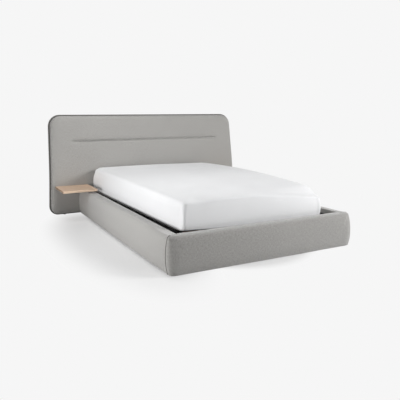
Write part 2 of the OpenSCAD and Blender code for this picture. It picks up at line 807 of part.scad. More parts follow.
cheek = 3;
end_block = 15;
slat_end = 75;
slat_first = platform_head_s + slat_end;
slat_last = platform_foot_s - slat_end;
function slat_s(i) = slat_first + (slat_last - slat_first) * i / (slat_count - 1);
slat_x0 = 4;
slat_x1 = platform_x - end_block - 2;
slat_seat = tube_top + 2.3;
slat_steps = 12;
function slat_z(t) = slat_seat + slat_rise * (1 - pow(2 * t - 1, 2));

module slats(side) {
    color("wheat") sided(side) for (i = [0 : slat_count - 1])
        along_bed(slat_s(i) - slat_w / 2, slat_s(i) + slat_w / 2) polygon(concat(
            [for (k = [0 : slat_steps]) let (t = k / slat_steps)
                [slat_x0 + (slat_x1 - slat_x0) * t, slat_z(t)]],
            [for (k = [slat_steps : -1 : 0]) let (t = k / slat_steps)
                [slat_x0 + (slat_x1 - slat_x0) * t, slat_z(t) + slat_t]]));
}

// A shallow tray that holds one slat end between two cheeks and a block at its end.
module slat_tray(x0, x1, wall, s) {
    difference() {
        block(x0, x1, s - slat_w / 2 - cheek - gap, s + slat_w / 2 + cheek + gap,
            tube_top, slat_seat + slat_t - 1);
        block(x0 - eps, wall > 0 ? x1 - wall : x1 + eps,
            s - slat_w / 2 - gap, s + slat_w / 2 + gap, slat_seat - gap, slat_seat + slat_t);
    }
}

module slat_holders() {
    color("black") for (i = [0 : slat_count - 1]) {
        slat_tray(-28, 28, 0, slat_s(i));
        for (side = [-1, 1]) sided(side)
            slat_tray(platform_x - tube - 2, platform_x, end_block, slat_s(i));
    }
}

stop_bar_d = 10;
stop_bar_h = 95;
stop_bar_x = 260;
module mattress_stop() {
    r = stop_bar_d / 2;
    bend = 30;
    y = ys(platform_head_s - r);
    color("dimgray") {
        for (side = [-1, 1]) sided(side) {
            translate([stop_bar_x, y, tube_z + 5]) cylinder(d = stop_bar_d, h = tube + stop_bar_h - bend - 5);
            translate([stop_bar_x - bend, y, tube_top + stop_bar_h - bend]) rotate([90, 0, 0])
                rotate_extrude(angle = 90) translate([bend, 0]) circle(r);
        }
        translate([-stop_bar_x + bend, y, tube_top + stop_bar_h]) rotate([0, 90, 0])
            cylinder(d = stop_bar_d, h = 2 * (stop_bar_x - bend));
    }
}

module pull_strap() {
    strap_t = 3;
    strap_out = 12;
    drop = 40;
    s = platform_foot_s + strap_out + gap;
    color("black") translate([-strap_w / 2, ys(s), tube_top - 6 - strap_out])
        rotate([90, 0, 90]) linear_extrude(strap_w) difference() {
            union() {
                circle(strap_out);
                translate([0, -drop]) circle(strap_out);
                translate([-strap_out, -drop]) square([2 * strap_out, drop]);
            }
            circle(strap_out - strap_t);
            translate([0, -drop]) circle(strap_out - strap_t);
            translate([-strap_out + strap_t, -drop]) square([2 * (strap_out - strap_t), drop]);
        }
}

// ---------- mattress ----------

mattress_steps = 5;
// Section of the mattress as [distance in, height], from the bottom up.
mattress_profile = let (z0 = mattress_z, z1 = mattress_z + mattress_t, c = mattress_crown) [
    [15, z0], [6, z0 + 2], [2, z0 + 8], [0.5, z0 + 20], [0, (z0 + z1) / 2],
    [1, z1 - 46], [4, z1 - 26], [13, z1 - 10], [30, z1 - 2], [60, z1 + c * 0.14],
    [130, z1 + c * 0.45], [230, z1 + c * 0.75], [360, z1 + c * 0.93], [520, z1 + c]];

function mattress_ring(inset, z) =
    let (x = mattress_x - inset, y0 = ys(mattress_foot_s) + inset, y1 = ys(head_gap) - inset,
        r = mattress_corner_r, n = mattress_steps)
    [for (c = [[-x + r, y0 + r, 180], [x - r, y0 + r, 270], [x - r, y1 - r, 0], [-x + r, y1 - r, 90]])
        for (i = [0 : n]) let (a = c[2] + 90 * i / n) [c[0] + r * cos(a), c[1] + r * sin(a), z]];

module mattress() {
    color("white") skin([for (p = mattress_profile) mattress_ring(p[0], p[1])]);
}

// ---------- assembly ----------

headboard_core();
headboard_pad();
headboard_back();
headboard_piping();
shelf(-1);  // shelf_left
shelf(1);  // shelf_right
shelf_bracket(-1);  // shelf_bracket_left
shelf_bracket(1);  // shelf_bracket_right
side_rail(-1);  // side_rail_left
side_rail(1);  // side_rail_right
side_cover(-1);  // side_cover_left
side_cover(1);  // side_cover_right
foot_panel();
foot_cover();
corner_brackets();
corner_bolts();
floor_bearers();
storage_floor(-1);  // storage_floor_left
storage_floor(1);  // storage_floor_right
glides();
platform_stops();
stop_buffers();
lift_base(-1);  // lift_base_left
lift_base(1);  // lift_base_right
platform_side_tube(-1);  // platform_side_tube_left
platform_side_tube(1);  // platform_side_tube_right
platform_head_tube();
platform_foot_tube();
platform_centre_tube();
tube_caps();
slats(-1);  // slats_left
slats(1);  // slats_right
slat_holders();
platform_bracket(-1);  // platform_bracket_left
platform_bracket(1);  // platform_bracket_right
mattress_stop();
pull_strap();
mattress();
lift_arm(-1);  // lift_arm_left
lift_arm(1);  // lift_arm_right
guide_arm(-1);  // guide_arm_left
guide_arm(1);  // guide_arm_right
strut_tube(-1);  // strut_tube_left
strut_tube(1);  // strut_tube_right
strut_rod(-1);  // strut_rod_left
strut_rod(1);  // strut_rod_right
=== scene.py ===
"""Looks of the upholstered storage bed: camera, light, finishes and its padded pieces."""

import json
import math

import bpy
import numpy as np
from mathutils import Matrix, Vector


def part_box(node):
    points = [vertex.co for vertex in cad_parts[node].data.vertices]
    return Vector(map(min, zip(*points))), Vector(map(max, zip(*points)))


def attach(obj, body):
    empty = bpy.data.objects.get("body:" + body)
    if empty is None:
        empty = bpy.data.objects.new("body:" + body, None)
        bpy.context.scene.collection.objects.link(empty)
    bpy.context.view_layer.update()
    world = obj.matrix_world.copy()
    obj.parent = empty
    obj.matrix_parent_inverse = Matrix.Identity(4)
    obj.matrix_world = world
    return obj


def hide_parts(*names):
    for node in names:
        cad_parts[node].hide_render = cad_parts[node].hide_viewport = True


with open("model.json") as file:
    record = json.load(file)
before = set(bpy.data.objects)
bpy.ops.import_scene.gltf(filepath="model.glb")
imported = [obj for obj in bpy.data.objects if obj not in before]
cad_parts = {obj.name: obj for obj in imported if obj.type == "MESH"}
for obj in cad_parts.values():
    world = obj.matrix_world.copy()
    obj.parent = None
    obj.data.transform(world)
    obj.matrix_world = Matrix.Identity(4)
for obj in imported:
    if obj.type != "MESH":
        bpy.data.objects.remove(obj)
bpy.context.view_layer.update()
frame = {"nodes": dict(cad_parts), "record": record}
nodes = frame["nodes"]
slots = {s["node"]: s["material_slot"] for s in frame["record"]["subparts"]}

# ---------- sizes taken from the frame, in metres ----------

foot_low, foot_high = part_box("foot_cover")
cover_low, cover_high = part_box("side_cover_right")
board_low, board_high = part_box("side_rail_right")
back_low, back_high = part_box("headboard_back")
bed_low, bed_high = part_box("mattress")
strap_low, strap_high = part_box("pull_strap")

BASE_X = foot_high.x
BASE_TOP = foot_high.z
GLIDE = foot_low.z
RAIL_IN = cover_low.x
BOARD_IN = board_low.x
BOARD_OUT = board_high.x
BOARD_TOP = board_high.z
HEAD_Y = cover_high.y
SEAM_Y = cover_low.y
FOOT_Y = foot_low.y
FOOT_IN_Y = foot_high.y
PANEL_FRONT_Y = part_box("foot_panel")[0].y
MM = 0.001

# ---------- camera, at the photograph's viewing angle ----------

PHOTO_SIDE = 400
FOCAL_PIXELS = 450
SENSOR = 36
CAMERA_PLACE = (-2.335, -3.9095, 1.170)
CAMERA_TURN = -25.3
SHIFT_RIGHT = 0.125
SHIFT_UP = -0.226

bpy.ops.object.select_all(action="DESELECT")
bpy.ops.object.camera_add(location=CAMERA_PLACE,
                          rotation=(math.radians(90), 0, math.radians(CAMERA_TURN)))
camera = bpy.context.object
camera.data.sensor_width = SENSOR
camera.data.lens = FOCAL_PIXELS / PHOTO_SIDE * SENSOR
camera.data.shift_x = SHIFT_RIGHT
camera.data.shift_y = SHIFT_UP
camera.data.clip_end = 200
bpy.context.scene.camera = camera
bpy.context.scene.view_settings.view_transform = "Standard"

# ---------- node helpers ----------


def add(tree, kind, settings=None, **inputs):
    """Adds a shader node. A keyword sets an input by name, with _ for a space, or by number
    after an i. A socket is linked.
    """
    made = tree.nodes.new(kind)
    for name, value in (settings or {}).items():
        setattr(made, name, value)
    for name, value in inputs.items():
        place = int(name[1:]) if name[0] == "i" and name[1:].isdigit() else name.replace("_", " ")
        socket = made.inputs[place]
        if isinstance(value, bpy.types.NodeSocket):
            tree.links.new(value, socket)
        else:
            socket.default_value = value
    return made


def maths(tree, kind, a, b=0.0):
    """One Math node's output."""
    return add(tree, "ShaderNodeMath", {"operation": kind}, i0=a, i1=b).outputs[0]


def from_wave(tree, wave):
    """A wave between -1 and 1, brought between 0 and 1."""
    made = add(tree, "ShaderNodeMath", {"operation": "MULTIPLY_ADD"}, i0=wave, i1=0.5, i2=0.5)
    return made.outputs[0]


def ramp(tree, factor, *stops):
    """A colour ramp over (place, colour) stops."""
    made = add(tree, "ShaderNodeValToRGB", Fac=factor)
    elements = made.color_ramp.elements
    while len(elements) < len(stops):
        elements.new(0.5)
    for element, (place, colour) in zip(elements, stops):
        element.position = place
        element.color = (*colour, 1)
    return made.outputs["Color"]


def mix(tree, factor, a, b, kind="MIX"):
    """Mixes two colours."""
    made = add(tree, "ShaderNodeMix", {"data_type": "RGBA", "blend_type": kind},
               i0=factor, i6=a, i7=b)
    return made.outputs[2]


def tint(tree, colour, by):
    """One colour multiplied by another."""
    return mix(tree, 1.0, colour, by, "MULTIPLY")


def noise(tree, place, scale, detail=2.0, rough=0.5, stretch=(1, 1, 1)):
    """A noise over a coordinate that is stretched first."""
    mapped = add(tree, "ShaderNodeMapping", Vector=place, Scale=stretch).outputs[0]
    made = add(tree, "ShaderNodeTexNoise", Vector=mapped, Scale=scale, Detail=detail,
               Roughness=rough)
    return made.outputs["Fac"]


def both_ways(tree, place, scale, detail, run, across):
    """The same noise drawn out along the warp and along the weft."""
    ways = (run, across, 1), (across, run, 1)
    return [noise(tree, place, scale, detail, 0.6, way) for way in ways]


def surface(name, colour=(0.8, 0.8, 0.8), rough=0.5, **sockets):
    """A new material with a Principled surface, as (material, tree, shader)."""
    made = bpy.data.materials.new(name)
    made.use_nodes = True
    shader = made.node_tree.nodes["Principled BSDF"]
    shader.inputs["Base Color"].default_value = (*colour, 1)
    shader.inputs["Roughness"].default_value = rough
    for socket, value in sockets.items():
        shader.inputs[socket.replace("_", " ")].default_value = value
    made.diffuse_color = (*colour, 1)
    return made, made.node_tree, shader


def object_place(tree):
    """The object coordinate."""
    return tree.nodes.new("ShaderNodeTexCoord").outputs["Object"]


def bump(tree, shader, height, distance, strength):
    """Puts a height, in units of distance, on the shader's normal."""
    made = add(tree, "ShaderNodeBump", Height=height, Distance=distance, Strength=strength)
    tree.links.new(made.outputs[0], shader.inputs["Normal"])


# ---------- cloth ----------

LEVEL_FROM = 0.7
SLUB_SCALE = 95
YARN_LENGTH = 2.2
YARN_STRETCH = (0.35, 1.6)
SLUB_STRETCH = (0.6, 2.2)


def normal_parts(tree):
    """The three parts of the normal."""
    normal = tree.nodes.new("ShaderNodeNewGeometry").outputs["Normal"]
    return add(tree, "ShaderNodeSeparateXYZ", Vector=normal).outputs


def flat_place(tree, follow_uv):
    """Two lengths on a cloth: from its own map, or from the object's place by the way it faces."""
    if follow_uv:
        uv = tree.nodes.new("ShaderNodeUVMap").outputs[0]
        parts = add(tree, "ShaderNodeSeparateXYZ", Vector=uv)
        return parts.outputs[0], parts.outputs[1]
    place = add(tree, "ShaderNodeSeparateXYZ", Vector=object_place(tree))
    facing = normal_parts(tree)
    level = maths(tree, "GREATER_THAN", maths(tree, "ABSOLUTE", facing[2]), LEVEL_FROM)
    across = maths(tree, "ADD", place.outputs[0], place.outputs[1])
    diagonal = maths(tree, "SUBTRACT", place.outputs[0], place.outputs[1])
    drop = maths(tree, "MULTIPLY", level, maths(tree, "SUBTRACT", diagonal, place.outputs[2]))
    return across, maths(tree, "ADD", place.outputs[2], drop)


def weave(name, tones, pitch, follow_uv=True, depth=0.0006, rough=0.9, sheen=0.25, band=None):
    """A plain weave of melange yarns, in dark, middle and light tones. band darkens a marked edge
    with painted shade.
    """
    made, tree, shader = surface(name, tones[1], rough, Sheen_Weight=sheen, Sheen_Roughness=0.5,
                                 Specular_IOR_Level=0.2)
    u, v = flat_place(tree, follow_uv)
    turn = 2 * math.pi / pitch
    warp = maths(tree, "SINE", maths(tree, "MULTIPLY", u, turn))
    weft = maths(tree, "SINE", maths(tree, "MULTIPLY", v, turn))
    cross = maths(tree, "MULTIPLY", warp, weft)
    over = maths(tree, "GREATER_THAN", cross, 0.0)
    place = add(tree, "ShaderNodeCombineXYZ", X=u, Y=v).outputs[0]
    yarns = both_ways(tree, place, 1 / (YARN_LENGTH * pitch), 3, *YARN_STRETCH)
    yarn = add(tree, "ShaderNodeMix", i0=over, i2=yarns[0], i3=yarns[1]).outputs[0]
    slubs = both_ways(tree, place, SLUB_SCALE, 2, *SLUB_STRETCH)
    slub = maths(tree, "MULTIPLY", maths(tree, "ADD", *slubs), 0.5)
    fleck = maths(tree, "ADD", maths(tree, "MULTIPLY", yarn, 0.5),
                  maths(tree, "MULTIPLY", slub, 0.5))
    base = ramp(tree, fleck, (0.34, tones[0]), (0.5, tones[1]), (0.66, tones[2]))
    shade = noise(tree, place, 2.5, 2, 0.5)
    faded = tint(tree, base, ramp(tree, shade, (0.3, (0.96,) * 3), (0.7, (1.0,) * 3)))
    height = from_wave(tree, cross)
    woven = tint(tree, faded, ramp(tree, height, (0.1, (0.8,) * 3), (0.6, (1.0,) * 3)))
    # Painted shade: the points marked as the edge band are tinted darker.
    if band:
        marked = add(tree, "ShaderNodeAttribute", {"attribute_name": "painted_shade_edge"}).outputs["Fac"]
        woven = mix(tree, marked, woven, tint(tree, woven, (*band, 1)))
    tree.links.new(woven, shader.inputs["Base Color"])
    fuzz = maths(tree, "ADD", height, maths(tree, "MULTIPLY", yarn, 0.7))
    bump(tree, shader, fuzz, depth, 0.7)
    return made


GREY_YARNS = ((0.245, 0.238, 0.226), (0.355, 0.347, 0.332), (0.47, 0.46, 0.442))
# Dark welt yarns. In the welts at the foot corners this dark tone is painted shade, standing in
# for the shadow inside the seams.
PIPING_AND_SEAM_SHADE_YARNS = ((0.075, 0.072, 0.067), (0.12, 0.116, 0.109), (0.18, 0.174, 0.164))
WHITE_YARNS = ((0.84, 0.845, 0.855), (0.87, 0.875, 0.885), (0.90, 0.905, 0.915))
BLACK_YARNS = ((0.008, 0.008, 0.008), (0.018, 0.018, 0.018), (0.035, 0.035, 0.035))

GREY_PITCH = 0.0034
# Painted shade: the tint that darkens the headboard's edge band, standing in for the weak light on
# that edge.
EDGE_PAINTED_SHADE_TINT = (0.48, 0.465, 0.44)

upholstery = weave("grey_melange_weave", GREY_YARNS, GREY_PITCH, sheen=0.6)
back_upholstery = weave("grey_melange_weave_flat", GREY_YARNS, GREY_PITCH, False, sheen=0.6)
# The weave for the headboard's edge and back, with painted shade on its edge band.
edge_shaded_upholstery = weave("grey_melange_weave_shaded_edge", GREY_YARNS, GREY_PITCH, False, sheen=0.3,
                         band=EDGE_PAINTED_SHADE_TINT)
# Dark welt cloth, which is also painted shade in the seams at the foot corners.
piping_and_seam_shade_cloth = weave("piping_and_seam_shade_weave", PIPING_AND_SEAM_SHADE_YARNS, 0.0026)
sheet_cotton = weave("white_cotton", WHITE_YARNS, 0.0012, False, depth=0.0002, rough=0.8,
                     sheen=0.15)
webbing = weave("black_webbing", BLACK_YARNS, 0.0024, False, depth=0.0007, rough=0.7, sheen=0.1)

# ---------- wood ----------

GROWTH_BANDS = 260
BAND_BEND = 0.09
BAND_SHARE = 0.35
PORE_SCALE = 40
PORE_STRETCH = (1.2, 24, 24)
FACING = 0.75
DIP_BLACK = (0.012, 0.012, 0.012, 1)
# Painted light on the oak: a paler tint for faces towards -Y (painted highlight) and a darker one
# for faces towards ±X (painted shade).
FRONT_PAINTED_LIGHT_TINT = (1.22, 1.28, 1.3, 1)
END_PAINTED_SHADE_TINT = (0.5, 0.46, 0.42, 1)
SLAT_DIP_X = 0.655


def wood(name, light, dark, grain=(3.5, 55, 55), rough=0.5, coat=0.0, figure=0.5, dipped=None,
         painted_facing_light=False):
    """Wood whose grain runs along X, with growth bands, pores and a slight relief.

    Past dipped it is black. The last switch paints a highlight on the faces towards -Y, which turn
    paler, and paints shade on the faces towards ±X, which turn darker.
    """
    made, tree, shader = surface(name, light, rough, Coat_Weight=coat, Coat_Roughness=0.25)
    place = object_place(tree)
    bend = noise(tree, place, 4, 2, 0.5, (0.5, 1, 1))
    parts = add(tree, "ShaderNodeSeparateXYZ", Vector=place)
    shifted = maths(tree, "ADD", parts.outputs[1], maths(tree, "MULTIPLY", bend, BAND_BEND))
    depth = maths(tree, "ADD", shifted, parts.outputs[2])
    bands = from_wave(tree, maths(tree, "SINE", maths(tree, "MULTIPLY", depth, GROWTH_BANDS)))
    fibre = noise(tree, place, 9, 4, 0.6, grain)
    share = figure * BAND_SHARE
    blend = maths(tree, "ADD", maths(tree, "MULTIPLY", bands, share),
                  maths(tree, "MULTIPLY", fibre, 1 - share))
    middle = tuple((a + b) / 2 for a, b in zip(light, dark))
    colour = ramp(tree, blend, (0.3, dark), (0.52, middle), (0.7, light))
    pores = noise(tree, place, PORE_SCALE, 2, 0.6, PORE_STRETCH)
    grained = tint(tree, colour, ramp(tree, pores, (0.33, (0.78, 0.74, 0.7)), (0.42, (1, 1, 1))))
    if dipped:
        end = maths(tree, "GREATER_THAN", maths(tree, "ABSOLUTE", parts.outputs[0]), dipped)
        grained = mix(tree, end, grained, DIP_BLACK)
    # Painted light: faces towards -Y get a painted highlight, faces towards ±X get painted shade.
    if painted_facing_light:
        facing = normal_parts(tree)
        front = maths(tree, "LESS_THAN", facing[1], -FACING)
        ends = maths(tree, "GREATER_THAN", maths(tree, "ABSOLUTE", facing[0]), FACING)
        grained = mix(tree, front, grained, tint(tree, grained, FRONT_PAINTED_LIGHT_TINT))
        grained = mix(tree, ends, grained, tint(tree, grained, END_PAINTED_SHADE_TINT))
    tree.links.new(grained, shader.inputs["Base Color"])
    worn = add(tree, "ShaderNodeMapRange", Value=fibre, To_Min=rough - 0.08, To_Max=rough + 0.1)
    tree.links.new(worn.outputs[0], shader.inputs["Roughness"])
    bump(tree, shader, maths(tree, "ADD", fibre, pores), 0.0004, 0.35)
    return made


# The oak shelf gets a painted highlight on its front edge and painted shade on its end faces.
oak = wood("pale_oak", (0.74, 0.545, 0.40), (0.54, 0.385, 0.275), painted_facing_light=True)
softwood = wood("planed_softwood", (0.68, 0.50, 0.31), (0.52, 0.34, 0.18), rough=0.65, figure=0.8)
beech = wood("lacquered_beech", (0.74, 0.56, 0.38), (0.62, 0.43, 0.26), (2.5, 80, 80), rough=0.38,
             coat=0.3, figure=0.2, dipped=SLAT_DIP_X)

# ---------- boards, metal, plastic and rubber ----------


def plain(name, dark, light, scale, rough, depth=0.0002, **sockets):
    """A hard finish with a fine mottle, a little relief and uneven gloss."""
    made, tree, shader = surface(name, light, rough, **sockets)
    place = object_place(tree)
    mottle = noise(tree, place, scale, 3, 0.6)
    tree.links.new(ramp(tree, mottle, (0.35, dark), (0.65, light)), shader.inputs["Base Color"])
    smear = noise(tree, place, 9, 3, 0.6)
    gloss = add(tree, "ShaderNodeMapRange", Value=smear, To_Min=max(0.03, rough - 0.06),
                To_Max=rough + 0.08)
    tree.links.new(gloss.outputs[0], shader.inputs["Roughness"])
    bump(tree, shader, mottle, depth, 0.4)
    return made


black_board = plain("black_faced_board", (0.010,) * 3, (0.022, 0.021, 0.020), 600, 0.55)
powder_coat = plain("black_powder_coat", (0.010, 0.010, 0.011), (0.022, 0.022, 0.023), 1400, 0.48)
zinc = plain("zinc_plating", (0.50, 0.51, 0.50), (0.72, 0.72, 0.70), 220, 0.3, Metallic=1.0)
gloss_black = plain("gloss_black_paint", (0.008,) * 3, (0.014,) * 3, 90, 0.16, 0.00005,
                    Coat_Weight=0.4)
chrome = plain("polished_chrome", (0.72, 0.73, 0.74), (0.82, 0.83, 0.84), 60, 0.09, 0.00002,
               Metallic=1.0)
moulded_black = plain("moulded_black_plastic", (0.012,) * 3, (0.03,) * 3, 900, 0.5, 0.0003)
felt = plain("black_felt", (0.006,) * 3, (0.014,) * 3, 700, 0.95, 0.0006)
rubber = plain("matt_black_rubber", (0.015,) * 3, (0.035, 0.034, 0.033), 500, 0.8, 0.0004)

finishes = {
    "upholstery": back_upholstery, "piping": piping_and_seam_shade_cloth, "mattress_cover": sheet_cotton,
    "strap": webbing, "oak": oak, "timber": softwood, "slat_wood": beech, "lining": black_board,
    "black_steel": powder_coat, "zinc": zinc, "cylinder_paint": gloss_black, "rod_chrome": chrome,
    "black_plastic": moulded_black, "rubber": rubber,
}
for name, node in nodes.items():
    node.data.materials.clear()
    node.data.materials.append(finishes[slots[name]])

# ---------- mesh helpers ----------


def alone(piece):
    """Selects one piece and nothing else."""
    bpy.ops.object.select_all(action="DESELECT")
    piece.select_set(True)
    bpy.context.view_layer.objects.active = piece


def points_of(piece):
    """The piece's points, as rows of X, Y and Z."""
    co = np.zeros(len(piece.data.vertices) * 3)
    piece.data.vertices.foreach_get("co", co)
    return co.reshape(-1, 3)


def set_points(piece, co):
    """Moves the piece's points."""
    piece.data.vertices.foreach_set("co", np.ascontiguousarray(co, dtype=np.float32).ravel())
    piece.data.update()


def finish_with(piece, kind, **settings):
    """Adds a modifier and applies it."""
    alone(piece)
    made = piece.modifiers.new(kind.lower(), kind)
    for name, value in settings.items():
        setattr(made, name, value)
    bpy.ops.object.modifier_apply(modifier=made.name)


def loft(name, rings, material):
    """A skin through closed rings of equal count, open at both ends, with its map in metres."""
    rings = np.asarray(rings, dtype=float)
    rings = np.concatenate([rings, rings[:, :1]], axis=1)
    rows, cols = rings.shape[:2]
    bpy.ops.object.select_all(action="DESELECT")
    bpy.ops.mesh.primitive_grid_add(x_subdivisions=cols - 1, y_subdivisions=rows - 1, size=2)
    piece = bpy.context.object
    piece.name = piece.data.name = name
    start = points_of(piece)
    col = np.rint((start[:, 0] + 1) / 2 * (cols - 1)).astype(int)
    row = np.rint((start[:, 1] + 1) / 2 * (rows - 1)).astype(int)
    set_points(piece, rings[row, col])
    step_u = np.linalg.norm(np.diff(rings, axis=1), axis=2)
    step_v = np.linalg.norm(np.diff(rings, axis=0), axis=2)
    run_u = np.concatenate([np.zeros((rows, 1)), np.cumsum(step_u, axis=1)], axis=1)
    run_v = np.concatenate([np.zeros((1, cols)), np.cumsum(step_v, axis=0)], axis=0)
    corner = np.zeros(len(piece.data.loops), dtype=np.int32)
    piece.data.loops.foreach_get("vertex_index", corner)
    uv = np.stack([run_u[row, col], run_v[row, col]], axis=1)[corner]
    piece.data.uv_layers[0].data.foreach_set("uv", uv.astype(np.float32).ravel())
    alone(piece)
    bpy.ops.object.mode_set(mode="EDIT")
    bpy.ops.mesh.select_all(action="SELECT")
    bpy.ops.mesh.remove_doubles(threshold=1e-5)
    bpy.ops.mesh.normals_make_consistent(inside=False)
    bpy.ops.object.mode_set(mode="OBJECT")
    piece.data.materials.append(material)
    return piece


def close_ends(piece):
    """Caps the two ends of a skin and shades it smooth."""
    alone(piece)
    bpy.ops.object.mode_set(mode="EDIT")
    bpy.ops.mesh.select_all(action="SELECT")
    bpy.ops.mesh.fill_holes(sides=0)
    bpy.ops.mesh.select_all(action="SELECT")
    bpy.ops.mesh.normals_make_consistent(inside=False)
    bpy.ops.object.mode_set(mode="OBJECT")
    bpy.ops.object.shade_smooth()


def puff(piece, pinned, pressure, cap, frames=20, stiffness=20.0):
    """Swells a padded piece with a short cloth simulation, in which no point travels past cap.

    pinned marks the sewn points.
    """
    rest = points_of(piece)
    sewn = piece.vertex_groups.new(name="sewn")
    sewn.add([int(i) for i in np.nonzero(pinned)[0]], 1.0, "REPLACE")
    cloth = piece.modifiers.new("cloth", "CLOTH")
    cloth.settings.quality = 4
    cloth.settings.mass = 0.4
    cloth.settings.tension_stiffness = stiffness
    cloth.settings.compression_stiffness = stiffness
    cloth.settings.bending_stiffness = 2.0
    cloth.settings.use_pressure = True
    cloth.settings.uniform_pressure_force = pressure
    cloth.settings.vertex_group_mass = "sewn"
    cloth.settings.effector_weights.gravity = 0
    cloth.point_cache.frame_end = frames
    scene = bpy.context.scene
    for step in range(1, frames + 1):
        scene.frame_set(step)
    swollen = piece.evaluated_get(bpy.context.evaluated_depsgraph_get())
    co = np.zeros(len(swollen.data.vertices) * 3)
    swollen.data.vertices.foreach_get("co", co)
    travel = co.reshape(-1, 3) - rest
    length = np.linalg.norm(travel, axis=1, keepdims=True)
    travel *= np.minimum(1, cap / np.maximum(length, 1e-9))
    piece.modifiers.remove(cloth)
    piece.vertex_groups.remove(sewn)
    scene.frame_set(1)
    set_points(piece, rest + travel)


def spaced(start, stop, step):
    """Values from start to stop, about a step apart, both ends included."""
    return np.linspace(start, stop, max(2, int(round(abs(stop - start) / step)) + 1))


WAVES = 7
WAVE_RATES = (3, 16)


def wander(a, b, size, seed):
    """A slow hand-made unevenness over two lengths, from a few seeded waves."""
    rng = np.random.default_rng(seed)
    total = np.zeros_like(a)
    for _ in range(WAVES):
        ka, kb = rng.uniform(*WAVE_RATES, 2)
        total += np.sin(ka * a + rng.uniform(0, 6.28)) * np.sin(kb * b + rng.uniform(0, 6.28))
    return size * total / 3


# ---------- padded base ----------

BULGE = 0.022
TOP_ROUND = 0.026
BOTTOM_ROUND = 0.012
CORNER_ACROSS = 0.080
SEAM_ROUND = 0.005
SEAM_SLIT = 0.0032
SEAM_DEPTH = 0.014
WELT = 0.0042
INNER_ROUND = 0.006
LAP = 0.042
BULGE_POWER = 2.4
PADDING_STEP = 0.014
RING_STEP = 0.02
BOARD_STEP = 0.05
PADDING_PRESSURE = 3.0
PADDING_TRAVEL = 0.003
UNEVEN = 0.0012
FACE_DEPTH = 0.06
FACE_FADE = 0.03
SEAM_FADE = 0.05
TOP_ROWS = 5
DOWN_ROWS = 5
SEAM_TOP_DEPTH = 0.006


def edge_in(z):
    """How far the padding stands in from its fullest face at a height."""
    return BULGE * np.abs(2 * (z - GLIDE) / (BASE_TOP - GLIDE) - 1) ** BULGE_POWER


def padding_profile():
    """Outer section of the padding as (distance in, height), from the floor up."""
    z_low, z_high = GLIDE + BOTTOM_ROUND, BASE_TOP - TOP_ROUND
    low = [(edge_in(z_low) + BOTTOM_ROUND * (1 - math.sin(a)),
            GLIDE + BOTTOM_ROUND * (1 - math.cos(a))) for a in np.linspace(0, math.pi / 2, 6)]
    mid = [(edge_in(z), z) for z in spaced(z_low, z_high, PADDING_STEP)[1:-1]]
    high = [(edge_in(z_high) + TOP_ROUND * (1 - math.cos(a)), z_high + TOP_ROUND * math.sin(a))
            for a in np.linspace(0, math.pi / 2, 8)]
    return np.array(low + mid + high)


profile = padding_profile()


def side_section():
    """Closed section of a side's padding as (X, Z), with the cloth that laps over the board."""
    outer = [(BASE_X - d, z) for d, z in profile]
    top = [(x, BASE_TOP) for x in spaced(outer[-1][0], RAIL_IN + INNER_ROUND, PADDING_STEP)[1:]]
    turn = [(RAIL_IN + INNER_ROUND * (1 - math.sin(a)), BASE_TOP - INNER_ROUND * (1 - math.cos(a)))
            for a in np.linspace(0, math.pi / 2, 4)[1:]]
    lap = [(RAIL_IN, z) for z in spaced(BASE_TOP - INNER_ROUND, BASE_TOP - LAP, PADDING_STEP)[1:]]
    inside = [(BOARD_IN, BASE_TOP - LAP), (BOARD_IN, BOARD_TOP), (BOARD_OUT, BOARD_TOP)]
    down = [(BOARD_OUT, z) for z in spaced(BOARD_TOP, GLIDE, BOARD_STEP)[1:]]
    under = [(x, GLIDE) for x in spaced(BOARD_OUT, outer[0][0], PADDING_STEP)[1:-1]]
    return np.array(outer + top + turn + lap + inside + down + under)


def seam_steps():
    """Steps away from the seam's middle, and how far in each lies, where two panels are sewn."""
    turn = np.linspace(0, math.pi / 2, 6)
    slit = [SEAM_SLIT * 0.6, SEAM_SLIT * 0.9]
    away = np.concatenate([slit, SEAM_SLIT + SEAM_ROUND * (1 - np.cos(turn))])
    inset = np.concatenate([[SEAM_DEPTH, SEAM_DEPTH * 0.5], SEAM_ROUND * (1 - np.sin(turn))])
    return away, inset


def side_padding(side):
    """The padding of one side, from the headboard to the seam near the foot."""
    section = side_section()
    middle = np.array([(BOARD_OUT + BASE_X) / 2, (GLIDE + BASE_TOP) / 2])
    deep, turn_in = seam_steps()
    ys = np.concatenate([SEAM_Y + deep, spaced(SEAM_Y + deep[-1], HEAD_Y, RING_STEP)[1:]])
    inset = np.concatenate([turn_in, np.zeros(len(ys) - len(turn_in))])
    shown = (section[:, 0] > BOARD_OUT + 2 * MM) | (section[:, 1] > BOARD_TOP + MM)
    rings = []
    for y, d in zip(ys, inset):
        ring = section.copy()
        away = ring - middle
        away /= np.linalg.norm(away, axis=1, keepdims=True)
        ring[shown] -= away[shown] * d
        rings.append([(x, y, z) for x, z in ring])
    piece = loft("side_padding_left" if side < 0 else "side_padding_right", rings, upholstery)
    x, y, z = points_of(piece).T
    pinned = ((x < BOARD_OUT + 2 * MM) & (z < BASE_TOP - 2 * MM)) | (z < GLIDE + 4 * MM)
    pinned |= (y < SEAM_Y + 1.5 * SEAM_ROUND) | (y > HEAD_Y - 2 * MM)
    puff(piece, pinned, PADDING_PRESSURE, PADDING_TRAVEL)
    co = points_of(piece)
    fullness = np.clip((co[:, 0] - BASE_X + FACE_DEPTH) / FACE_FADE, 0, 1)
    fullness *= np.clip((co[:, 1] - SEAM_Y) / SEAM_FADE, 0, 1)
    co[:, 0] += fullness * wander(co[:, 1], co[:, 2], UNEVEN, 3)
    co[:, 0] *= side
    set_points(piece, co)
    finish_with(piece, "SUBSURF", levels=1, render_levels=1)
    close_ends(piece)
    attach(piece, "frame")
    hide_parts("side_cover_left" if side < 0 else "side_cover_right")
    return piece


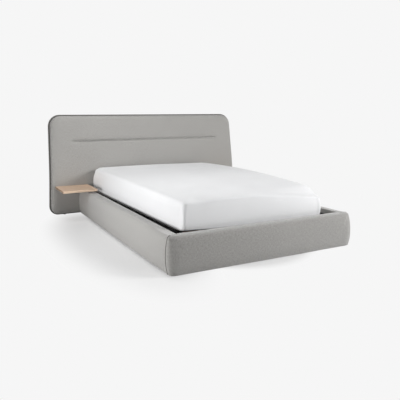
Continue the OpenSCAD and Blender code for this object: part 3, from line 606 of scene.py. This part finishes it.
def foot_padding():
    """The padding of the foot, which wraps round both corners to the side seams."""
    corner = [("return", SEAM_Y - away, inset) for away, inset in zip(*seam_steps())]
    corner += [("corner", math.radians(a), 0.0) for a in np.linspace(0, 90, 12)[1:]]
    inner, outer = RAIL_IN - MM, RAIL_IN + MM
    level = spaced(-RAIL_IN + 0.012, RAIL_IN - 0.012, RING_STEP)
    front = [-outer, -inner, *level, inner, outer]
    rings = [foot_column(*column, -1) for column in corner]
    rings += [foot_column("front", x, 0.0, 0) for x in front]
    rings += [foot_column(*column, 1) for column in reversed(corner)]
    piece = loft("foot_padding", rings, upholstery)
    co = points_of(piece)
    free = (co[:, 1] < SEAM_Y - 0.02) & (co[:, 2] > GLIDE + 4 * MM)
    puff(piece, ~free, PADDING_PRESSURE, PADDING_TRAVEL)
    co = points_of(piece)
    fullness = np.clip((FOOT_Y + FACE_DEPTH - co[:, 1]) / FACE_FADE, 0, 1)
    co[:, 1] -= fullness * wander(co[:, 0], co[:, 2], UNEVEN, 8)
    set_points(piece, co)
    finish_with(piece, "SUBSURF", levels=1, render_levels=1)
    close_ends(piece)
    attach(piece, "frame")
    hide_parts("foot_cover")
    return piece


def foot_column(kind, a, d, side):
    """One closed column of the foot's padding: up the outer face, over the top and down inside.

    a is the Y of a column that returns to the seam, the angle of one on the corner, or the X of
    one on the front. d is how far the cloth turns in at the seam.
    """
    turn_y = SEAM_Y - SEAM_SLIT - SEAM_ROUND
    top_turn = min(d, SEAM_TOP_DEPTH)
    points = []
    for inset, z in profile:
        x_face, y_face = BASE_X - inset, FOOT_Y + inset
        if kind == "return":
            turned = z - top_turn * (z > BASE_TOP - 0.02) + d * (z < GLIDE + 0.01)
            points.append((side * (x_face - d), a, turned))
        elif kind == "corner":
            across = CORNER_ACROSS - inset
            points.append((side * (x_face - across + across * math.cos(a)),
                           turn_y + (y_face - turn_y) * math.sin(a), z))
        else:
            points.append((a, y_face, z))
    top = np.array(points[-1])
    lap_z = BASE_TOP - LAP
    over_board = kind == "front" and abs(a) <= RAIL_IN
    if over_board:
        inner = np.array([a, FOOT_IN_Y, BASE_TOP])
    else:
        inner_x = a
        if kind == "return":
            inner_x = side * top_x()
        if kind == "corner":
            inner_x = side * (top_x() + (RAIL_IN + 4 * MM - top_x()) * math.sin(a))
        inner = np.array([inner_x, SEAM_Y, BASE_TOP - top_turn])
    points += [tuple(top + (inner - top) * k / (TOP_ROWS + 1)) for k in range(1, TOP_ROWS + 1)]
    x, y, z_in = inner
    if over_board:
        lap_y = FOOT_IN_Y - 2 * MM
        level = [BASE_TOP - INNER_ROUND, BASE_TOP - 0.02, BASE_TOP - 0.04, lap_z]
        points += [(x, y, z) for z in level]
        points += [(x, lap_y, lap_z), (x, lap_y, BOARD_TOP), (x, PANEL_FRONT_Y, BOARD_TOP)]
        down = np.linspace(BOARD_TOP - 0.01, GLIDE, DOWN_ROWS)
        points += [(x, PANEL_FRONT_Y, z) for z in down]
    else:
        level = [z_in - 2 * MM, BASE_TOP - 0.012, BASE_TOP - 0.03, lap_z]
        points += [(x, y, z) for z in level]
        points += [(x, y - k * 0.1 * MM, lap_z - k * MM) for k in (1, 2, 3)]
        down = np.linspace(lap_z - 4 * MM, GLIDE, DOWN_ROWS)
        points += [(x, y - 0.3 * MM, z) for z in down]
    low, last = np.array(points[0]), np.array(points[-1])
    points.append(tuple(last + (low - last) * 0.5))
    return points


def top_x():
    """The X where the rounded top edge of the padding ends."""
    return BASE_X - profile[-1][0]


def seam_shade_welt(side):
    """A thin dark welt sewn into the seam where the side's cloth meets the foot's, whose dark
    cloth is painted shade standing in for the shadow inside the seam.
    """
    sunk = 0.8 * WELT
    path = [(BASE_X - inset - sunk, z) for inset, z in profile[2:-2] if z > GLIDE + 0.008]
    path += [(x, BASE_TOP - sunk)
             for x in spaced(path[-1][0] - 0.012, RAIL_IN + 0.012, PADDING_STEP)]
    path = np.array(path)
    along = np.gradient(path, axis=0)
    along /= np.linalg.norm(along, axis=1, keepdims=True)
    rings = []
    for (x, z), (dx, dz) in zip(path, along):
        rings.append([(side * (x + WELT * math.cos(a) * dz), SEAM_Y + WELT * math.sin(a),
                       z - WELT * math.cos(a) * dx) for a in np.radians(np.arange(10) * 36)])
    piece = loft("corner_welt_left" if side < 0 else "corner_welt_right", rings, piping_and_seam_shade_cloth)
    close_ends(piece)
    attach(piece, "frame")
    return piece


side_padding(-1)
side_padding(1)
foot_padding()
seam_shade_welt(-1)
seam_shade_welt(1)

# ---------- headboard ----------

LEAN = 0.095
LEAN_FROM = 0.430
LEAN_BLEND = 0.120
TOP_CORNER = 0.132
BOTTOM_CORNER = 0.095
PAD = 0.042
CORE = 0.030
CLOTH = 0.003
PIPING = 0.009
PAD_ROUND = 0.034
PAD_RIM = 0.013
TUCK_Z = 0.810
TUCK_HALF = 0.940
TUCK_DEPTH = 0.030
TUCK_WIDTH = 0.008
TUCK_FADE = 0.080
TUCK_POWER = 1.5
TUCK_STEPS = (0.25, 0.6, 1, 1.5, 2.1, 3)
TUCK_CLEAR = 3.6
HEAD_STEP = 0.021
HEAD_PRESSURE = 2.0
HEAD_FRAMES = 16
RIM_SEWN = 0.012
RIM_STEPS = (0, 0.0012, 0.004, 0.012, 0.04, 0.12)
BACK_ROUND = 0.006
CORNER_COUNT = 13
PIPING_STEP = 0.012
SKIN_STEP = 0.014
RIPPLE = 0.03
RIPPLE_TURN = 1.9
HEADBOARD_X = back_high.x
HEADBOARD_TOP = back_high.z
HEADBOARD_LOW = back_low.z


def lean_at(z):
    """How far the headboard leans back at a height."""
    slope = LEAN / (HEADBOARD_TOP - LEAN_FROM)
    up = np.asarray(z, dtype=float) - LEAN_FROM
    curve = slope * (up + LEAN_BLEND) ** 2 / (4 * LEAN_BLEND)
    return np.where(up < -LEAN_BLEND, 0, np.where(up < LEAN_BLEND, curve, slope * up))


def half_width(z, margin):
    """Half width of the headboard's outline, drawn in by a margin, at a height."""
    x, low, high = HEADBOARD_X - margin, HEADBOARD_LOW + margin, HEADBOARD_TOP - margin
    rt, rb = TOP_CORNER - margin, BOTTOM_CORNER - margin
    if z > high - rt:
        return x - rt + math.sqrt(max(0, rt ** 2 - (z - high + rt) ** 2))
    if z < low + rb:
        return x - rb + math.sqrt(max(0, rb ** 2 - (low + rb - z) ** 2))
    return x


def rim_distance(x, z, margin):
    """Distance from the outline, drawn in by a margin, to points inside it."""
    low, high = HEADBOARD_LOW + margin, HEADBOARD_TOP - margin
    r = np.where(z > (low + high) / 2, TOP_CORNER, BOTTOM_CORNER) - margin
    qx = np.abs(x) - (HEADBOARD_X - margin) + r
    qz = np.where(z > (low + high) / 2, z - high, low - z) + r
    return r - np.where((qx > 0) & (qz > 0), np.hypot(qx, qz), np.maximum(qx, qz))


def rim_spacing(low, high, step):
    """Places from low to high, close together near both ends where the padding rounds off."""
    near = np.array([0, 0.0015, 0.004, 0.008, 0.013, 0.019, 0.027, 0.037, 0.05])
    wide = spaced(low + 0.066, high - 0.066, step)
    return np.concatenate([low + near, wide, high - near[::-1]])


def headboard_padding():
    """The front padding, with its rounded rim and the sewn tuck."""
    margin = CLOTH + PIPING + 0.3 * MM
    low, high = HEADBOARD_LOW + margin, HEADBOARD_TOP - margin
    half = np.array(TUCK_STEPS)
    tuck = TUCK_Z + TUCK_WIDTH * np.concatenate([-half[::-1], [0], half])
    plain_z = rim_spacing(low, high, HEAD_STEP)
    clear = np.abs(plain_z - TUCK_Z) > TUCK_CLEAR * TUCK_WIDTH
    zs = np.sort(np.concatenate([plain_z[clear], tuck]))
    rings = []
    for z in zs:
        w = half_width(z, margin)
        front = rim_spacing(-w, w, HEAD_STEP * w / (HEADBOARD_X - margin))
        if rings and len(front) != count:
            places = np.linspace(0, 1, len(front))
            front = np.interp(np.linspace(0, 1, count), places, front)
        count = len(front)
        e = np.clip(rim_distance(front, np.full(count, z), margin) / PAD_ROUND, 0, 1)
        out = PAD_RIM + (PAD - PAD_RIM) * np.sqrt(1 - (1 - e) ** 2)
        y = HEAD_Y + PAD + lean_at(z)
        near_rim = w - np.array(RIM_STEPS)
        behind = np.concatenate([near_rim, np.linspace(0.6, -0.6, 5) * w, -near_rim[::-1]])
        rings.append([(x, y - t, z) for x, t in zip(front, out)] + [(x, y, z) for x in behind])
    piece = loft("headboard_padding", rings, upholstery)
    co = points_of(piece)
    x, y, z = co.T.copy()
    back_y = HEAD_Y + PAD + lean_at(z)
    behind = y > back_y - 0.5 * PAD_RIM
    sewn = (np.abs(z - TUCK_Z) < 0.2 * TUCK_WIDTH) & (np.abs(x) < TUCK_HALF)
    pinned = behind | (rim_distance(x, z, margin) < RIM_SEWN) | sewn
    tucked = TUCK_DEPTH * np.exp(-np.abs((z - TUCK_Z) / TUCK_WIDTH) ** TUCK_POWER)
    tucked *= np.clip((TUCK_HALF + TUCK_FADE / 2 - np.abs(x)) / TUCK_FADE, 0, 1)
    co[:, 1] += np.where(y < back_y - 0.5 * PAD_RIM, tucked, 0)
    set_points(piece, co)
    puff(piece, pinned, HEAD_PRESSURE, PADDING_TRAVEL, HEAD_FRAMES)
    finish_with(piece, "SUBSURF", levels=1, render_levels=1)
    close_ends(piece)
    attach(piece, "frame")
    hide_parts("headboard_pad")
    return piece


headboard_padding()


def outline_path(margin, step):
    """The headboard's outline, drawn in by a margin, as (X, Z, outward X, outward Z)."""
    x, low, high = HEADBOARD_X - margin, HEADBOARD_LOW + margin, HEADBOARD_TOP - margin
    rt, rb = TOP_CORNER - margin, BOTTOM_CORNER - margin
    path = []
    for cx, cz, r, start in ((x - rb, low + rb, rb, -90), (x - rt, high - rt, rt, 0),
                             (-x + rt, high - rt, rt, 90), (-x + rb, low + rb, rb, 180)):
        for a in np.radians(np.linspace(start, start + 90, CORNER_COUNT)):
            out = math.cos(a), math.sin(a)
            path.append((cx + r * out[0], cz + r * out[1], *out))
    full = []
    for p, q in zip(path, path[1:] + path[:1]):
        count = max(1, int(round(math.hypot(q[0] - p[0], q[1] - p[1]) / step)))
        for t in np.arange(count) / count:
            full.append(tuple(a + (b - a) * t for a, b in zip(p, q)))
    return np.array(full)


def headboard_piping():
    """A round welt along the rim, with the slight ripple of cloth drawn round a cord."""
    r = PIPING / 2
    path = outline_path(CLOTH + r, PIPING_STEP)
    around = np.radians(np.arange(12) * 30)
    rings = []
    for i, (x, z, ox, oz) in enumerate(path):
        ripple = 1 + RIPPLE * math.sin(i * RIPPLE_TURN)
        y = HEAD_Y + PAD - r - 0.00015 + float(lean_at(z))
        rings.append([(x + r * ripple * math.cos(a) * ox, y + r * ripple * math.sin(a),
                       z + r * ripple * math.cos(a) * oz) for a in around])
    rings.append(rings[0])
    piece = loft("headboard_welt", rings, piping_and_seam_shade_cloth)
    close_ends(piece)
    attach(piece, "frame")
    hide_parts("headboard_piping")
    return piece


headboard_piping()


def headboard_skin():
    """The cloth on the edge and back of the headboard, with a sewn line round the back."""
    edge = outline_path(0, SKIN_STEP)
    rim, out = edge[:, :2], edge[:, 2:]
    middle = np.array([0, (HEADBOARD_LOW + HEADBOARD_TOP) / 2])
    back = PAD + CORE + CLOTH
    steps = [(CLOTH + 0.011, PAD + 2 * MM), (CLOTH + 0.010, PAD - 0.6 * MM), (CLOTH, PAD - MM),
             (CLOTH * 0.5, PAD - MM), (0.4 * MM, PAD + 0.6 * MM), (0, PAD + 4 * MM)]
    steps += [(0, PAD + d) for d in (0.009, 0.015, 0.021, 0.027)]
    steps += [(BACK_ROUND * (1 - math.cos(a)), back - BACK_ROUND * (1 - math.sin(a)))
              for a in np.linspace(0, math.pi / 2, 5)]
    steps += [(0.012, back), (0.018, back - 0.3 * MM), (0.0195, back - 1.6 * MM),
              (0.021, back - 0.3 * MM), (0.03, back)]
    rings = []
    for margin, depth in steps:
        p = rim - out * margin
        rings.append(np.column_stack([p[:, 0], HEAD_Y + depth + lean_at(p[:, 1]), p[:, 1]]))
    inner = rim - out * 0.03
    for k in np.linspace(1, 0.04, 26)[1:]:
        p = middle + (inner - middle) * k
        rings.append(np.column_stack([p[:, 0], HEAD_Y + back + lean_at(p[:, 1]), p[:, 1]]))
    piece = loft("headboard_skin", rings, edge_shaded_upholstery)
    close_ends(piece)
    co = points_of(piece)
    depth = co[:, 1] - HEAD_Y - lean_at(co[:, 2])
    # Painted shade: the edge, short of the back, is marked to be tinted darker.
    marked = piece.data.attributes.new("painted_shade_edge", "FLOAT", "POINT")
    marked.data.foreach_set("value", (depth < back - 0.004).astype(np.float32))
    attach(piece, "frame")
    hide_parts("headboard_back")
    return piece


headboard_skin()

# ---------- pull strap ----------

STRAP_T = 0.003


def pull_strap():
    """A woven loop to lift the platform by, with thick selvedges."""
    half_w = (strap_high.x - strap_low.x) / 2
    middle_x = (strap_high.x + strap_low.x) / 2
    t = STRAP_T
    r = (strap_high.y - strap_low.y) / 2 - t / 2
    y = (strap_high.y + strap_low.y) / 2
    high, low = strap_high.z - r - t / 2, strap_low.z + r + t / 2
    bends = []
    for z, start in ((high, 0), (low, math.pi)):
        bends.append([(y + r * math.cos(a), z + r * math.sin(a), math.cos(a), math.sin(a))
                      for a in np.linspace(start, start + math.pi, 15)])
    route = bends[0] + [(y - r, z, -1, 0) for z in spaced(high, low, STRAP_T * 2)[1:-1]]
    route += bends[1] + [(y + r, z, 1, 0) for z in spaced(low, high, STRAP_T * 2)[1:-1]]
    section = [(-1, -0.25), (-1, 0.25), (-0.96, 0.5), (-0.9, 0.42), (-0.82, 0.36), (0, 0.4),
               (0.82, 0.36), (0.9, 0.42), (0.96, 0.5), (1, 0.25), (1, -0.25), (0.96, -0.5),
               (0.9, -0.42), (0, -0.4), (-0.9, -0.42), (-0.96, -0.5)]
    rings = [[(middle_x + u * half_w, py + v * t * oy, pz + v * t * oz) for u, v in section]
             for py, pz, oy, oz in route]
    rings.append(rings[0])
    piece = loft("pull_strap_webbing", rings, webbing)
    close_ends(piece)
    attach(piece, "platform")
    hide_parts("pull_strap")
    return piece


pull_strap()

# ---------- mattress ----------

CROWN = 0.016
BED_TOP = bed_high.z - CROWN
BED_LOW = bed_low.z
BED_X = bed_high.x
BED_MIDDLE_Y = (bed_low.y + bed_high.y) / 2
BED_HALF_L = (bed_high.y - bed_low.y) / 2
BED_CORNER = 0.035
SOFT_EDGE = 0.046
FOOT_EDGE = 0.024
SIDE_SWELL = 0.010
FOOT_RISE = 0.008
HEAD_RISE = 0.024
HEAD_SPREAD = 0.042
LOW_SPREAD = 0.008
CORNER_SAG = 0.076
RIGHT_RISE = 0.022
RIGHT_DROP = 0.014
CORNER_PULL = 0.020
SAG_REACH = 0.10
SAG_FADE = 0.022
FOOT_DIP = 0.014
FOOT_DIP_X = -0.56
FOOT_DIP_WIDTH = 0.09
LEFT_LIFT = 0.030
FLAP = 0.058
FLAP_TOP = 0.41
FLAP_SLANT = 0.05
FLAP_THICK = 0.0035
HEM_UP = 0.03
HEM_WIDTH = 0.006
HEM_THICK = 0.0015
TIGHT_REACH = 0.25
LOW_EDGE = 0.016
FOOT_BLEND_FROM = 0.14
FOOT_BLEND = 0.12
SHEET_STEP = 0.026
SHEET_PRESSURE = 4.0
SHEET_STIFFNESS = 15.0


def eased(share):
    """A share that starts and ends gently between 0 and 1."""
    t = np.clip(share, 0, 1)
    return t * t * (3 - 2 * t)


def falls(value, middle, width):
    """A share that falls from 1 to 0 round a middle."""
    return 1 / (1 + np.exp((value - middle) / width))


def mattress_section(round_edge):
    """The mattress's section as (distance in, height), from the low edge to the crown."""
    low = [(0.015, BED_LOW), (0.006, BED_LOW + 2 * MM), (0.002, BED_LOW + 7 * MM),
           (0.0, BED_LOW + LOW_EDGE)]
    rise = BED_TOP - BED_LOW - LOW_EDGE - round_edge
    side = [(-SIDE_SWELL * math.sin(math.pi * t) ** 0.7, BED_LOW + LOW_EDGE + t * rise)
            for t in np.linspace(0, 1, 13)[1:-1]]
    edge = [(round_edge * (1 - math.cos(a)), BED_TOP - round_edge * (1 - math.sin(a)))
            for a in np.linspace(0, math.pi / 2, 10)]
    over = np.concatenate([[0.058, 0.074, 0.095], spaced(0.12, 0.69, 0.025), [0.6995]])
    top = [(d, BED_TOP + CROWN * (1 - max(0, 1 - d / 0.52) ** 2.2)) for d in over]
    return low + side + edge + top


def edge_places(half, reach):
    """Places along one edge of the mattress, close together near both corners."""
    near = np.array([0, 0.004, 0.008, 0.013, 0.019, 0.027, 0.038, 0.055, 0.075])
    end = half - BED_CORNER - near
    wide = spaced(end[-1] - 0.025, -end[-1] + 0.025, SHEET_STEP)
    places = np.concatenate([end, wide, -end[::-1]])
    return places / places[0] * reach


def mattress_plan(inset):
    """The mattress's outline at a distance in, as (X, Y), round from its left side."""
    a, b = BED_X - inset, BED_HALF_L - inset
    r = min(BED_CORNER, 0.6 * a)
    long_run = edge_places(BED_HALF_L, b - r)
    short_run = edge_places(BED_X, a - r)
    arc = np.linspace(0, math.pi / 2, 7)[1:-1]
    points = [(-a, y) for y in long_run]
    points += [(-a + r - r * math.cos(t), -b + r - r * math.sin(t)) for t in arc]
    points += [(-x, -b) for x in short_run]
    points += [(a - r + r * math.sin(t), -b + r - r * math.cos(t)) for t in arc]
    points += [(a, -y) for y in long_run]
    points += [(a - r + r * math.cos(t), b - r + r * math.sin(t)) for t in arc]
    points += [(x, b) for x in short_run]
    points += [(-a + r - r * math.sin(t), b - r + r * math.cos(t)) for t in arc]
    return np.array(points)


def settle(co):
    """Makes the mattress fuller at its head and right side, with a corner the sheet pulls down."""
    x, y, z = co.T
    along = np.clip((y - BED_MIDDLE_Y) / (2 * BED_HALF_L) + 0.5, 0, 1)
    height = np.clip((z - BED_LOW) / (BED_TOP - BED_LOW), 0, 1.2)
    outside = np.abs(x) - BED_X
    x -= np.sign(x) * np.where(outside > 0, outside * (1 - along ** 0.7), 0)
    x *= 1 + HEAD_SPREAD * along + LOW_SPREAD * along ** 2 * np.clip(1 - height, 0, 1)
    z += height * (FOOT_RISE + HEAD_RISE * along ** 1.3)
    right = eased((x + 0.1) / 0.7)
    arch = np.sin(math.pi * np.clip((along - 0.04) / 0.9, 0, 1))
    z += height * right * (RIGHT_RISE * arch - RIGHT_DROP * along ** 8)
    from_foot = along * 2 * BED_HALF_L
    near_right = np.clip((x + 0.10) / 0.74, 0, 1) ** 1.1
    dip = FOOT_DIP * np.exp(-((x - FOOT_DIP_X) / FOOT_DIP_WIDTH) ** 2)
    z -= height * (CORNER_SAG * near_right + dip) * falls(from_foot, SAG_REACH, SAG_FADE)
    lifted = LEFT_LIFT * np.exp(-from_foot / 0.10) * np.clip((-x - 0.2) / 0.45, 0, 1)
    z += lifted * np.clip(1 - height / 0.2, 0, 1)
    at_corner = np.exp(-from_foot / 0.12) * np.clip((x - 0.35) / 0.3, 0, 1) ** 2
    x -= CORNER_PULL * at_corner
    y += CORNER_PULL * at_corner


def fold_sheet(co):
    """Adds the flaps and the hem on the long sides, the pull at the corners and the creases."""
    x, y, z = co.T
    from_corner = BED_HALF_L - np.abs(y - BED_MIDDLE_Y)
    outward = np.sign(x) * (np.abs(x) > BED_X - 0.03)
    flap_top = FLAP_TOP + FLAP_SLANT * from_corner / FLAP
    x += outward * falls(from_corner, FLAP, 0.0025) * falls(z, flap_top, 0.004) * FLAP_THICK
    x += outward * HEM_THICK * np.exp(-((z - BED_LOW - HEM_UP) / HEM_WIDTH) ** 2)
    pull = np.exp(-from_corner / TIGHT_REACH) * np.exp(-(BED_X - np.abs(x)) / TIGHT_REACH)
    z -= pull * (z > BED_TOP - 0.03) * 4 * MM
    z += (z > BED_TOP - 2 * MM) * wander(x * 0.5, y * 0.5, UNEVEN, 5)


def mattress():
    """The mattress in its fitted sheet, swollen by a cloth simulation."""
    rings = []
    for (inset, z), (foot_inset, foot_z) in zip(mattress_section(SOFT_EDGE),
                                                mattress_section(FOOT_EDGE)):
        plan = mattress_plan(inset)
        to_foot = eased((-plan[:, 1] - BED_HALF_L + FOOT_BLEND_FROM) / FOOT_BLEND)
        longer = (BED_HALF_L - foot_inset) / (BED_HALF_L - inset)
        plan[:, 1] *= np.where(plan[:, 1] < 0, longer, 1)
        rings.append(np.column_stack([plan, z + (foot_z - z) * to_foot]))
    rings = np.array(rings)
    rings[:, :, 1] += BED_MIDDLE_Y
    piece = loft("mattress_body", rings, sheet_cotton)
    pinned = points_of(piece)[:, 2] < BED_LOW + 0.02
    puff(piece, pinned, SHEET_PRESSURE, PADDING_TRAVEL, stiffness=SHEET_STIFFNESS)
    co = points_of(piece)
    settle(co)
    fold_sheet(co)
    set_points(piece, co)
    finish_with(piece, "SUBSURF", levels=1, render_levels=1)
    close_ends(piece)
    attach(piece, "platform")
    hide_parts("mattress")
    return piece


mattress()

# ---------- felt under the mattress edge ----------

SLAT_COUNT = 12
TRAY_HALF = 0.0333
FIRST_SLAT_Y = HEAD_Y - 0.097
LAST_SLAT_Y = HEAD_Y - 1.947
FELT_X = 0.689
FELT_WIDTH = 0.028
FELT_THICK = 0.0156
FELT_MIDDLE_Z = BED_LOW - 0.0082


def edge_felt():
    """Felt strips on the platform's side tubes between the slat trays, under the mattress."""
    slats = np.linspace(FIRST_SLAT_Y, LAST_SLAT_Y, SLAT_COUNT)
    gap = TRAY_HALF + MM
    bpy.ops.object.select_all(action="DESELECT")
    strips = []
    for side in (-1, 1):
        for y0, y1 in zip(slats[:-1] - gap, slats[1:] + gap):
            middle = (side * FELT_X, (y0 + y1) / 2, FELT_MIDDLE_Z)
            bpy.ops.mesh.primitive_cube_add(size=1, location=middle,
                                            scale=(FELT_WIDTH, abs(y1 - y0), FELT_THICK))
            strips.append(bpy.context.object)
    for strip in strips:
        strip.select_set(True)
    bpy.context.view_layer.objects.active = strips[0]
    bpy.ops.object.join()
    piece = bpy.context.object
    bpy.ops.object.transform_apply(location=True, rotation=True, scale=True)
    piece.name = piece.data.name = "mattress_edge_felt"
    finish_with(piece, "BEVEL", width=3 * MM, segments=3)
    bpy.ops.object.shade_smooth_by_angle(angle=math.radians(40))
    piece.data.materials.clear()
    piece.data.materials.append(felt)
    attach(piece, "platform")
    return piece


edge_felt()

# ---------- floor, backdrop and light ----------

BACKDROP = (0.922, 0.922, 0.922, 1)
FLOOR_BOUNCE = (0.6, 0.6, 0.6, 1)
FLOOR_SHADE = (0.76, 0.76, 0.76, 1)
AMBIENT = 0.06
FLOOR_RADIUS = 60

bpy.ops.object.select_all(action="DESELECT")
bpy.ops.mesh.primitive_circle_add(vertices=96, radius=FLOOR_RADIUS, fill_type="NGON")
floor = bpy.context.object
floor.name = "floor"
floor_material = bpy.data.materials.new("pale_floor")
floor_material.use_nodes = True
tree = floor_material.node_tree
tree.nodes.clear()
path = tree.nodes.new("ShaderNodeLightPath")
lit = add(tree, "ShaderNodeBsdfDiffuse", Color=FLOOR_BOUNCE)
shaded = add(tree, "ShaderNodeBsdfDiffuse", Color=FLOOR_SHADE)
glow = add(tree, "ShaderNodeEmission", Color=BACKDROP, Strength=1.0)
place = object_place(tree)


def clear_of(middle, stretch, start, stop, least):
    """A share of plain backdrop that grows away from a place on the floor."""
    shift = (-middle[0] * stretch[0], -middle[1] * stretch[1], 0)
    moved = add(tree, "ShaderNodeMapping", Vector=place, Location=shift, Scale=(*stretch, 1))
    far = add(tree, "ShaderNodeVectorMath", {"operation": "LENGTH"}, i0=moved.outputs[0])
    made = add(tree, "ShaderNodeMapRange", {"interpolation_type": "SMOOTHSTEP"},
               Value=far.outputs[1], From_Min=start, From_Max=stop, To_Min=least, To_Max=1.0)
    return made.outputs[0]


left_shadow = clear_of((-0.9, -0.15), (1.0, 0.43), 0.28, 0.62, 0.26)
under = clear_of((0, 0), (1.15, 0.84), 1.0, 1.12, 0.5)
plain_share = maths(tree, "MINIMUM", left_shadow, under)
view = add(tree, "ShaderNodeMixShader", i0=plain_share, i1=shaded.outputs[0], i2=glow.outputs[0])
both = add(tree, "ShaderNodeMixShader", i0=path.outputs["Is Camera Ray"], i1=lit.outputs[0],
           i2=view.outputs[0])
add(tree, "ShaderNodeOutputMaterial", Surface=both.outputs[0])
floor.data.materials.append(floor_material)

world = bpy.data.worlds.new("studio")
bpy.context.scene.world = world
world.use_nodes = True
tree = world.node_tree
tree.nodes.clear()
path = tree.nodes.new("ShaderNodeLightPath")
ambient = add(tree, "ShaderNodeBackground", Color=(1, 1, 1, 1), Strength=AMBIENT)
shown = add(tree, "ShaderNodeBackground", Color=BACKDROP, Strength=1.0)
through = maths(tree, "MAXIMUM", path.outputs["Is Glossy Ray"],
                path.outputs["Is Transmission Ray"])
direct = maths(tree, "MAXIMUM", path.outputs["Is Camera Ray"], through)
both = add(tree, "ShaderNodeMixShader", i0=direct, i1=ambient.outputs[0], i2=shown.outputs[0])
add(tree, "ShaderNodeOutputWorld", Surface=both.outputs[0])


def softbox(name, place, target, size, watts, spread=180):
    """A large area lamp that faces a target, with its light kept within a spread in degrees."""
    bpy.ops.object.select_all(action="DESELECT")
    way = Vector(target) - Vector(place)
    turn = way.to_track_quat("-Z", "Y").to_euler()
    bpy.ops.object.light_add(type="AREA", location=place, rotation=turn)
    lamp = bpy.context.object
    lamp.name = name
    lamp.data.shape = "RECTANGLE"
    lamp.data.size, lamp.data.size_y = size
    lamp.data.energy = watts
    lamp.data.spread = math.radians(spread)
    lamp.visible_camera = False
    return lamp


softbox("key_softbox", (5.4, -4.4, 3.2), (0, -0.3, 0.3), (2.0, 2.0), watts=378)
softbox("left_softbox", (-2.8, -0.6, 0.42), (-0.9, -0.6, 0.12), (2.0, 0.5), watts=21.7,
        spread=124)
softbox("overhead_softbox", (-1.15, -0.1, 2.9), (-0.5, 0.3, 0.4), (2.0, 1.2), watts=40)
softbox("front_softbox", (0.2, -3.8, 1.0), (0.2, -1.1, 0.35), (1.2, 0.8), watts=4.6, spread=100)
softbox("low_softbox", (3.2, -2.6, 1.4), (0.4, -0.6, 0.3), (0.9, 0.9), watts=20)
softbox("back_softbox", (1.5, 5.2, 2.6), (0, 1.1, 0.5), (2.2, 1.6), watts=80, spread=120)
